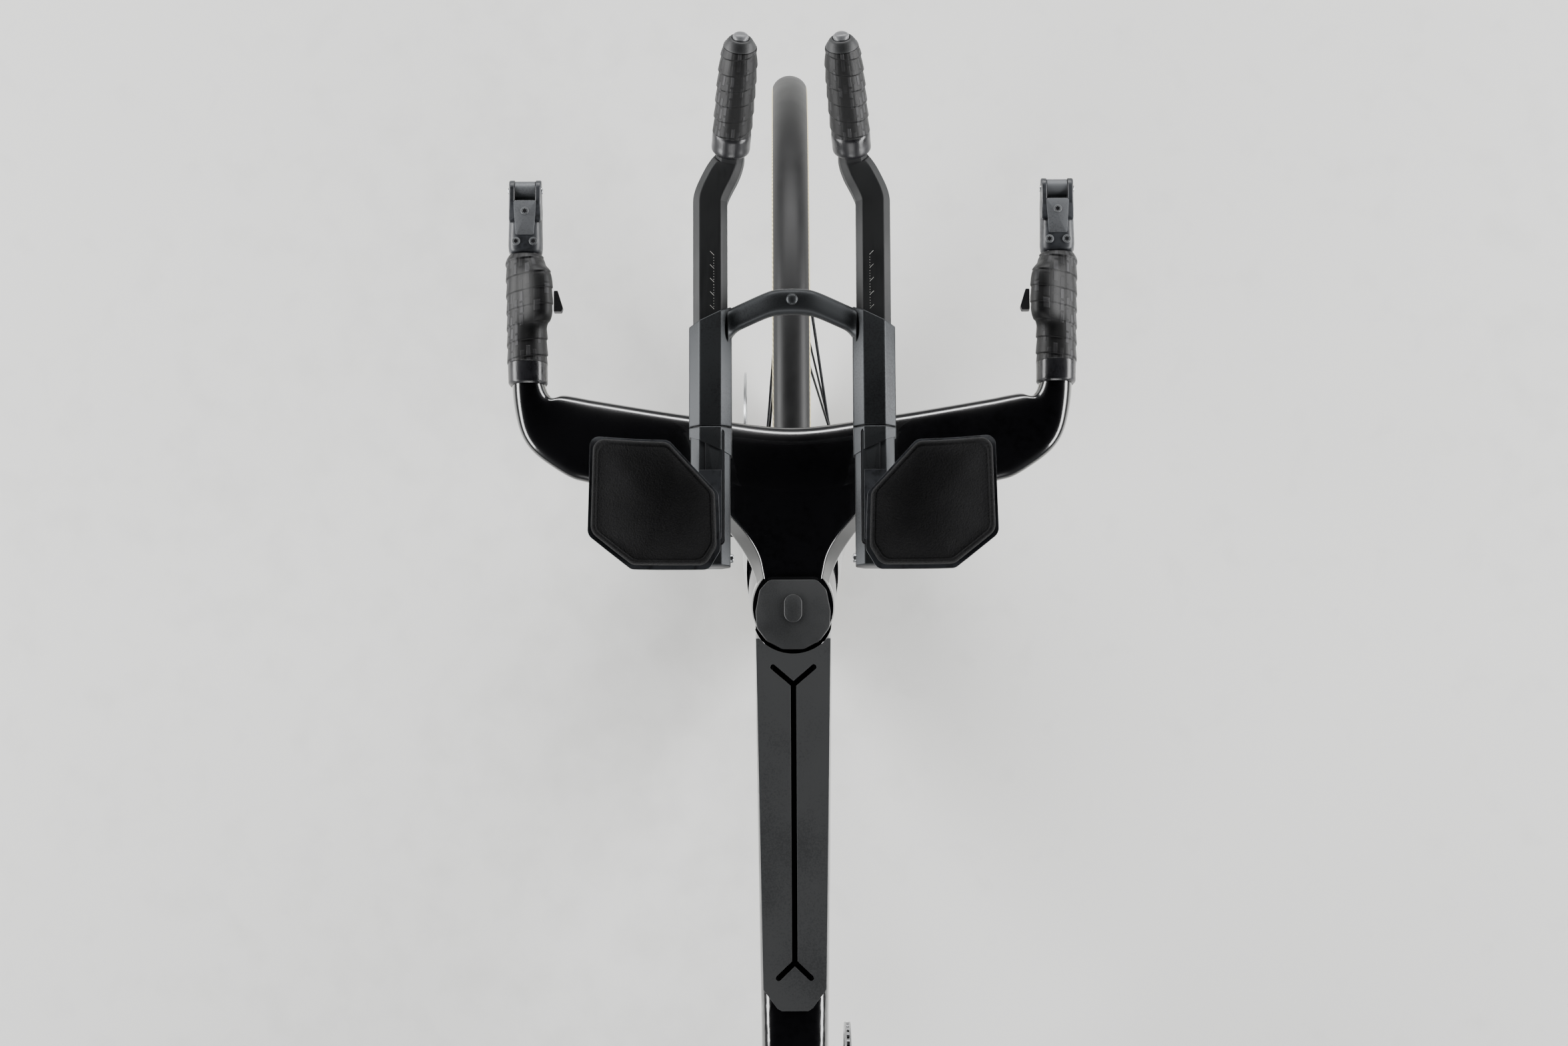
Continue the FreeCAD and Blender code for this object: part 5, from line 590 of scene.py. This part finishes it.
# A merged copy of a CAD node's mesh, its flat parts joined, with rolled edges
def softened(label, body, finish, width, angle=32.0):
    mesh = nodes[label].data.copy()
    weld(mesh, 0.01, joinFlat=True)
    piece = finishPiece(label + "_rolled", mesh, body, finish, [label], angle)
    bevel = piece.modifiers.new("rolled edge", "BEVEL")
    bevel.width = width * mm
    bevel.segments = 3
    bevel.limit_method = "ANGLE"
    bevel.angle_limit = math.radians(angle)
    bevel.harden_normals = True


softened("storage_cover", "frame", coverRubber, 0.9)
softened("arm_cups", "steering", forgedCarbon, 0.6)
for side, sign in sides:
    softened(side + "_brake_lever", side + "_brake_lever", plateGrey, 0.7)
print("edges rolled")

# Sleeves, hoods and rails: eight sided tubes along x, each end at its own slant, with rolled ends
# A hood's rear is pinched, and slopes up to its full size
railLook = {"y": 59.3, "z": 925.0, "corner": 2.2, "roll": [(0, 0.955), (0.3, 0.985), (1, 1)],
            "sleeve": {"half": 15.5, "high": 13.0, "flat": 7.6, "rear": (425.2, 0.0), "front": (506.3, -0.47)},
            "hood": {"half": 15.5, "high": 13.0, "flat": 7.6, "rear": (410.0, 0.45), "front": (424.6, 0.0),
                     "pinch": 0.9, "slope": 7.0},
            "rail": {"half": 14.3, "high": 12.0, "flat": 7.9, "rear": (323.843, 0.0), "front": (423.0, 0.0)}}


def sleeveGrid(tube):
    ring = roundedRing(eightSided(tube), railLook["corner"])
    rear, front = (at + slant * ring[:, 0] for at, slant in (tube["rear"], tube["front"]))
    pinch = tube.get("pinch", 1)
    rows = [np.column_stack([rear + run, ring * grow * (pinch if run < 1 else 1)]) for run, grow in railLook["roll"]]
    if "slope" in tube:
        rows.append(np.column_stack([rear + tube["slope"], ring]))
    rows += [np.column_stack([front - run, ring * grow]) for run, grow in railLook["roll"][::-1]]
    return np.stack(rows) + (0, railLook["y"], railLook["z"])


# Bridge: rounded sections across the bike; it falls back from a level middle, and its rear fillets into the sleeves
bridgeLook = {"x": 515.843, "z": 938.0, "drop": 13.0, "half": 9.3, "high": 8.0, "square": 2.8, "level": 14.0,
              "slope": 0.39, "soften": 6.0, "reach": 47.0, "fillet": 9.0, "filletAt": 45.8, "columns": 48,
              "buttonZ": 946.0, "button": [(4.3, -1.0), (4.3, 0.2), (4.0, 0.9), (3.0, 1.7), (1.6, 2.2), (0.5, 2.35)]}
fillet = bridgeLook["fillet"]
across = np.linspace(-bridgeLook["reach"], bridgeLook["reach"], 121)[:, None]
past = np.abs(across) - bridgeLook["level"]
fall = bridgeLook["slope"] / 2 * (past + np.sqrt(past ** 2 + bridgeLook["soften"] ** 2))
near = np.clip(fillet - (bridgeLook["filletAt"] - np.abs(across)), 0, fillet)
flare = fillet - np.sqrt(fillet ** 2 - near ** 2)
oval = unitOval(bridgeLook["columns"], bridgeLook["square"])
height = bridgeLook["z"] - bridgeLook["drop"] * fall / fall.max()
grid = np.stack([bridgeLook["x"] - fall - flare / 2 + (bridgeLook["half"] + flare / 2) * oval[0],
                 np.repeat(across, bridgeLook["columns"], axis=1),
                 height + (bridgeLook["high"] + flare / 4) * oval[1]], axis=-1)
makePiece("bridge_arch", *tubeFaces(grid), "steering", satinGrey, "satin_grey", ["bridge_clamp"])
turnedPiece("bridge_button", (bridgeLook["x"], 0, bridgeLook["buttonZ"]), (0, 0, 1), bridgeLook["button"], "steering",
            satinGrey, "black_steel", ["bridge_plug"])
# Risers: upright ovals from the bar up into the rail's wall, |x / a|^2.2 + |y / b|^2.2 = 1 at each height
# Sections: height, middle x, half length a, half width b
riserLook = {"square": 2.2, "columns": 48,
             "sections": [(819, 419.8, 27, 10), (910, 413.1, 22.3, 10), (914.4, 412.8, 22, 9.2)]}
oval = unitOval(riserLook["columns"], riserLook["square"])
riserGrid = np.stack([np.column_stack([x + a * oval[0], railLook["y"] + b * oval[1], np.full(riserLook["columns"], z)])
                      for z, x, a, b in riserLook["sections"]])
# Inset strips on the rails: a raised strip ringed by a dark sheet that paints the shadow in the gap round it, and a
# bolt head on the inner side
# Painted gap shadow and strip: how far past the strip's sides, height of the top
stripLook = {"rear": 339.0, "front": 422.0, "y": 56.4, "half": 6.5, "halfLength": 40.0, "low": 936.0, "corner": 3.0,
             "seal": (0.9, 937.04), "strip": (0.0, 937.5)}
boltLook = {"place": (330.0, 45.2, 925.0), "head": [(3.2, -1), (3.2, 1.6), (2.8, 2.2), (1.5, 2.3), (1.4, 1.0)]}
stripCorners = lidCorners(stripLook["rear"], stripLook["front"], 1, 1)
for side, sign in sides:
    for label, stands in (("sleeve", "bridge_clamp"), ("hood", "arm_rails"), ("rail", "arm_rails")):
        makePiece(side + "_" + label, *tubeFaces(sleeveGrid(railLook[label]) * (1, sign, 1)), "steering", satinGrey,
                  "satin_grey", [stands], sharp=50)
    makePiece(side + "_riser", *tubeFaces(riserGrid * (1, sign, 1)), "steering", satinGrey, "satin_grey", ["arm_rails"])
    # The dark ring is painted shadow for the gap, lying on the satin grey rail
    for label, finish in (("seal", buttonRubberAndShade), ("strip", satinGrey)):
        beyond, top = stripLook[label]
        outline = stripCorners * (1, stripLook["half"] + beyond) + (0, stripLook["y"])
        outline = outline + (outline - outline.mean(axis=0)) * (beyond / stripLook["halfLength"], 0)
        lidPiece(side + "_rail_" + label, roundedRing(outline, stripLook["corner"]) * (1, sign),
                 rolledEdge(stripLook["low"], top, 0.4), "steering", finish, "satin_grey")
    turnedPiece(side + "_rail_bolt", np.array(boltLook["place"]) * (1, sign, 1), (0, -sign, 0), boltLook["head"],
                "steering", brightSteel, "bright_steel", steps=24)
print("arm rest rails made")

# Stem: a puck on the steering axis and a neck with sloping flanks that widens into the bar
# Sections: x, half width of the top, half width low down, top height, bottom height
stemLook = {"axis": (-0.2924, 0, 0.9563), "foot": (318.24, 0, 786.4), "radius": 31.0, "deck": 815.0, "corner": 3.0,
            "chine": (6, 5), "puckRows": (0, 0.03, 0.5, 0.94, 1), "puckRoll": 0.03, "sections": [
                (296, 21, 27, 814.6, 793), (329, 21.5, 28, 815, 796), (334, 22, 29, 817, 797),
                (348, 25, 35.5, 820.5, 801), (362, 33, 45, 824, 804.5), (378, 47, 57.5, 827, 808),
                (394, 60, 67, 829, 810), (406, 66, 70, 831.2, 812)]}
stemKeys = np.array(stemLook["sections"], float)
stemRun = np.linspace(stemKeys[0, 0], stemKeys[-1, 0], 67)
chineIn, chineUp = stemLook["chine"]
stemRows = []
for x, (topHalf, lowHalf, topZ, lowZ) in zip(stemRun, eased(stemKeys[:, 0], stemKeys[:, 1:], stemRun)):
    ring = roundedRing([(lowHalf, lowZ + chineUp), (topHalf, topZ), (-topHalf, topZ), (-lowHalf, lowZ + chineUp),
                        (chineIn - lowHalf, lowZ), (lowHalf - chineIn, lowZ)], stemLook["corner"])
    stemRows.append(np.column_stack([np.full(len(ring), x), ring]))
makePiece("stem_neck", *tubeFaces(np.stack(stemRows)), "steering", lacquer, "gloss_carbon", ["stem"])
steerAxis = np.array(stemLook["axis"])
angle = np.arange(96)[:, None] * 2 * np.pi / 96
circle = np.cos(angle) * np.cross((0, 1, 0), steerAxis) + np.sin(angle) * (0, 1, 0)
foot = np.array(stemLook["foot"]) + stemLook["radius"] * circle
rise = (stemLook["deck"] - foot[:, 2:]) / steerAxis[2]
grid = np.stack([foot + steerAxis * rise * share for share in stemLook["puckRows"]])
grid[[0, -1]] += (grid[[0, -1]].mean(axis=1, keepdims=True) - grid[[0, -1]]) * stemLook["puckRoll"]
makePiece("stem_puck", *tubeFaces(grid), "steering", lacquer, "gloss_carbon", ["stem"])
# Stem cap: a rounded lid with a pill shaped plug
capLook = {"x": 307.843, "low": 815.1, "top": 820.0, "corner": 7.0,
           "corners": [(21.8, 18), (14, 25), (-2, 28), (-14, 27.4), (-24, 20), (-30.6, 8)],
           "plugHalf": (10.5, 6.7), "plugCorner": 6.5, "plugRows": [(0, 819), (0, 820.7), (0.2, 821.1), (0.6, 821.3)]}
capCorners = np.array(capLook["corners"] + [(x, -y) for x, y in capLook["corners"][::-1]])
capRing = roundedRing(capCorners, capLook["corner"], margin=0.2) + (capLook["x"], 0)
lidPiece("stem_cap_lid", capRing, rolledEdge(capLook["low"], capLook["top"], 1.0), "steering", capNylon,
         "black_moulding", ["stem_cap"])
plugLong, plugWide = capLook["plugHalf"]
plugCorners = lidCorners(-plugLong, plugLong, plugWide, plugWide)
plugRing = roundedRing(plugCorners, capLook["plugCorner"], steps=9, margin=0.05) + (capLook["x"], 0)
lidPiece("stem_cap_pill", plugRing, capLook["plugRows"], "steering", capNylon, "black_moulding", ["stem_cap_plug"])
print("stem made")

# Shift caps and buttons: turned on the line of the extension's tip; rows of radius and height
shiftLook = {"cap": [(11.2, -0.6), (11.8, 0.2), (11.7, 1.2), (8.8, 5.6), (8.0, 6.4), (7.0, 6.8), (6.3, 6.7),
                     (6.2, 3.0)],
             "button": [(5.7, 5.6), (5.7, 8.0), (5.4, 9.0), (4.4, 9.9), (2.6, 10.4), (0.8, 10.5)]}
for side, sign in sides:
    tip = tipEnd * (1, sign, 1), tipLine * (1, sign, 1)
    turnedPiece(side + "_end_cap", *tip, shiftLook["cap"], side + "_extension", capNylon, "black_moulding",
                [side + "_shift_cap"])
    # The button's grey finish is a painted reflection on a black button
    turnedPiece(side + "_end_button", *tip, shiftLook["button"], side + "_shift_button", buttonPaintedReflection, "black_rubber",
                [side + "_shift_button"])

# Brake bodies: superellipse sections along x with a rounded rear; two cheeks and a roof leave room for the pulled lever
# Sections: x, half width, half height. Cheek rows: how far out, size. Cheek corners: x, height from the pivot
# Roof, and the plate's lid: rear, front, half width at each
podLook = {"y": 200.5, "z": 830.4, "square": 3.4, "columns": 48, "pivot": (624.34, 836.0), "sections": [
               (575.84, 9.5, 10.5), (576.4, 11.2, 12.2), (578, 12.5, 13.2), (582, 12.9, 13.5), (592, 12.7, 13.5),
               (601.4, 12.5, 13.5), (602.6, 12.2, 13.2), (603.2, 11.4, 12.4)],
           "cheekRadius": 8.0, "cheekCorners": [(599, 7.4), (599, -18.4), (611, -18.4)],
           "cheekRows": [(7.9, 0.96), (8.3, 1), (11.2, 1), (12.0, 0.92)],
           "pinOut": 11.8, "pin": [(2.6, -0.5), (2.6, 0.7), (2.2, 1.2), (0.8, 1.4)],
           "roof": (599.0, 614.8, 11.9, 11.9), "roofCorner": 1.5,
           "roofRows": [(0, 835.6), (0, 842.8), (0.3, 843.4), (1, 843.7)]}
sections = np.array(podLook["sections"])[:, :, None]
oval = unitOval(podLook["columns"], podLook["square"])
pod = np.stack([sections[:, 0] + 0 * oval[0], sections[:, 1] * oval[0],
                podLook["z"] + sections[:, 2] * oval[1]], axis=-1)
pivotX, pivotZ = podLook["pivot"]
sweep = np.linspace(-np.pi / 2, np.pi / 2, 25)
cheek = np.concatenate([podLook["cheekRadius"] * np.stack([np.cos(sweep), np.sin(sweep)], axis=1) + podLook["pivot"],
                        np.array(podLook["cheekCorners"]) + (0, pivotZ)])
cheekMiddle = cheek.mean(axis=0)
roof = roundedRing(lidCorners(*podLook["roof"]), podLook["roofCorner"])
# Plate on each brake body: a tapered lid with rolled edges
plateLook = {"lid": (588.8, 615.2, 6.8, 8.6), "low": 842.4, "top": 844.3, "corner": 1.6}
plate = roundedRing(lidCorners(*plateLook["lid"]), plateLook["corner"])
for side, sign in sides:
    podY = podLook["y"] * sign
    bodySettings = ("steering", forgedCarbon, "black_moulding", ["brake_bodies"])
    makePiece(side + "_brake_pod", *tubeFaces(pod + (0, podY, 0)), *bodySettings)
    lidPiece(side + "_brake_roof", roof + (0, podY), podLook["roofRows"], *bodySettings)
    for part, face in (("outer", 1), ("inner", -1)):
        flats = [cheekMiddle + (cheek - cheekMiddle) * grow for out, grow in podLook["cheekRows"]]
        grid = np.stack([np.column_stack([flat[:, 0], np.full(len(flat), podY + out * face), flat[:, 1]])
                         for flat, (out, grow) in zip(flats, podLook["cheekRows"])])
        makePiece(side + "_brake_cheek_" + part, *tubeFaces(grid), *bodySettings)
        turnedPiece(side + "_brake_pin_" + part, (pivotX, podY + podLook["pinOut"] * face, pivotZ), (0, face, 0),
                    podLook["pin"], "steering", brightSteel, "bright_steel", steps=24)
for side, sign in sides:
    lidPiece(side + "_brake_plate", plate + (0, podLook["y"] * sign),
             rolledEdge(plateLook["low"], plateLook["top"], 0.4), "steering", plateGrey, "black_moulding")

# Screws: turned heads, each with a six lobed socket, r = 1.5 + 0.35 cos 6a, whose recess is a black disc of painted
# shade drawn just proud of its face
screwLook = {"top": 844.7, "places": [(607.14, 0), (583.84, 6.5), (583.84, -6.5)],
             "head": [(3.2, -3.0), (3.2, -0.5), (2.9, -0.1), (2.3, 0)],
             "socket": 1.5, "lobe": 0.35, "socketDepth": 0.3, "socketProud": 0.04}
angle = np.arange(48) * 2 * np.pi / 48
lobeRadius = screwLook["socket"] + screwLook["lobe"] * np.cos(6 * angle)
lobes = lobeRadius[:, None] * np.stack([np.cos(angle), np.sin(angle)], axis=1)
top = screwLook["top"]
socketShadeRows = [(0, top - screwLook["socketDepth"]), (0, top + screwLook["socketProud"])]
for side, sign in sides:
    for number, (x, off) in enumerate(screwLook["places"]):
        out = (podLook["y"] + off) * sign
        turnedPiece("%s_screw_%d" % (side, number), (x, out, top), (0, 0, 1), screwLook["head"], "steering", zincFlake,
                    "black_steel", ["brake_body_screws"], steps=32)
        # The socket is a black disc: painted shade in the recess
        lidPiece("%s_socket_%d" % (side, number), lobes + (x, out), socketShadeRows, "steering", buttonRubberAndShade, "black_steel")
print("caps and screws made")

# Printed ticks along each extension: thin bars 0.05 mm proud of its flat, every fifth one long and slanted
tickLook = {"from": 511.0, "to": 551.0, "pitch": 2.0, "group": 5, "y": 56.4, "short": 0.45, "long": 2.9, "width": 0.4,
            "lean": 3.0, "sunk": 0.1, "thick": 0.15}
places = np.arange(tickLook["from"], tickLook["to"] + 0.1, tickLook["pitch"])[:, None]
isLong = (np.arange(len(places)) % tickLook["group"] == 0)[:, None]
corner = np.array([(-0.5, 0), (0.5, 0), (0.5, 1), (-0.5, 1)])
tickX = places + corner[:, 0] * tickLook["width"] + corner[:, 1] * np.where(isLong, tickLook["lean"], 0)
tickY = tickLook["y"] + corner[:, 1] * np.where(isLong, tickLook["long"], tickLook["short"])
tickZ = np.full_like(tickX, bendStart[2] + extensionLook["high"] - tickLook["sunk"])
low = np.stack([tickX, tickY, tickZ], axis=-1).reshape(-1, 3)
first = np.arange(len(places))[:, None] * 4
above = first + len(low)
walls = [np.concatenate([first + k, first + (k + 1) % 4, above + (k + 1) % 4, above + k], axis=1) for k in range(4)]
quads = np.concatenate([first + (3, 2, 1, 0), above + (0, 1, 2, 3)] + walls)
for side, sign in sides:
    points = np.concatenate([low, low + (0, 0, tickLook["thick"])]) * (1, sign, 1)
    makePiece(side + "_scale_ticks", points, quads, np.zeros((0, 3), int), side + "_extension", whiteInk,
              "matte_carbon", sharp=20)
print("ticks made")

# Floor, light and camera
stageLook = {"floor": ("#d6d6d4", "#dededc"), "floorSize": 12.0}
reach = stageLook["floorSize"] / 2
floorMesh = bpy.data.meshes.new("floor")
floorMesh.from_pydata([(-reach, -reach, 0), (reach, -reach, 0), (reach, reach, 0), (-reach, reach, 0)], [],
                      [(0, 1, 2, 3)])
floorMesh.materials.append(makeFinish("painted studio floor", *stageLook["floor"], (0.85, 0.95), 900, 40, 0.1))
floor = bpy.data.objects.new("floor", floorMesh)
bpy.context.scene.collection.objects.link(floor)

# World: bright round the horizon and dark overhead, so upright faces catch light and flat gloss stays black
worldLook = {"horizon": "#cdcfd1", "overhead": "#0c0c0d", "darkFrom": 0.6, "strength": 0.38}
world = bpy.data.worlds.new("studio")
bpy.context.scene.world = world
world.use_nodes = True
worldTree = world.node_tree
worldTree.nodes.clear()
direction = addNode(worldTree, "TexCoord", out="Generated")
heightAt = addNode(worldTree, "SeparateXYZ", {"Vector": direction}, out=2)
sky = addNode(worldTree, "ValToRGB", {"Fac": heightAt},
              ((0.0, worldLook["horizon"]), (worldLook["darkFrom"], worldLook["overhead"])))
glow = addNode(worldTree, "Background", {"Color": sky, "Strength": worldLook["strength"]})
addNode(worldTree, "OutputWorld", {"Surface": glow})

# Strip lights: place, aim, size in metres, power in watts
lightLook = {"front strip": ((2.4, 0, 1.45), (0.4, 0, 0.85), (2.4, 0.3), 50),
             "left strip": ((0.25, 2.1, 1.25), (0.25, 0, 0.9), (3.2, 0.7), 125),
             "right strip": ((0.25, -2.1, 1.25), (0.25, 0, 0.9), (3.2, 0.7), 125),
             "rear fill": ((-2.4, 0, 1.6), (0.0, 0, 0.8), (1.6, 0.6), 25)}
for name, (place, aim, size, power) in lightLook.items():
    light = bpy.data.lights.new(name, "AREA")
    light.shape = "RECTANGLE"
    light.size, light.size_y = size
    light.energy = power
    lamp = bpy.data.objects.new(name, light)
    away = (Vector(place) - Vector(aim)).normalized()
    lamp.matrix_world = Matrix.Translation(place) @ away.to_track_quat("Z", "Y").to_matrix().to_4x4()
    bpy.context.scene.collection.objects.link(lamp)

# The camera looks down from above the frame; lean tips it forward and roll turns the picture
cameraLook = {"place": (-0.0647, 0.0065, 3.5792), "lens": 85.66, "sensor": 36.0, "lean": 9.0, "roll": 0.26}
camera = bpy.data.objects.new("camera", bpy.data.cameras.new("camera"))
camera.data.lens = cameraLook["lens"]
camera.data.sensor_width = cameraLook["sensor"]
camera.data.sensor_fit = "HORIZONTAL"
lean, roll = math.radians(cameraLook["lean"]), math.radians(cameraLook["roll"])
back = Vector((-math.sin(lean), 0, math.cos(lean)))
up = Matrix.Rotation(-roll, 3, back) @ Vector((math.cos(lean), 0, math.sin(lean)))
facing = Matrix((up.cross(back), up, back)).transposed().to_4x4()
camera.matrix_world = Matrix.Translation(cameraLook["place"]) @ facing
bpy.context.scene.collection.objects.link(camera)
bpy.context.scene.camera = camera
print("stage set")
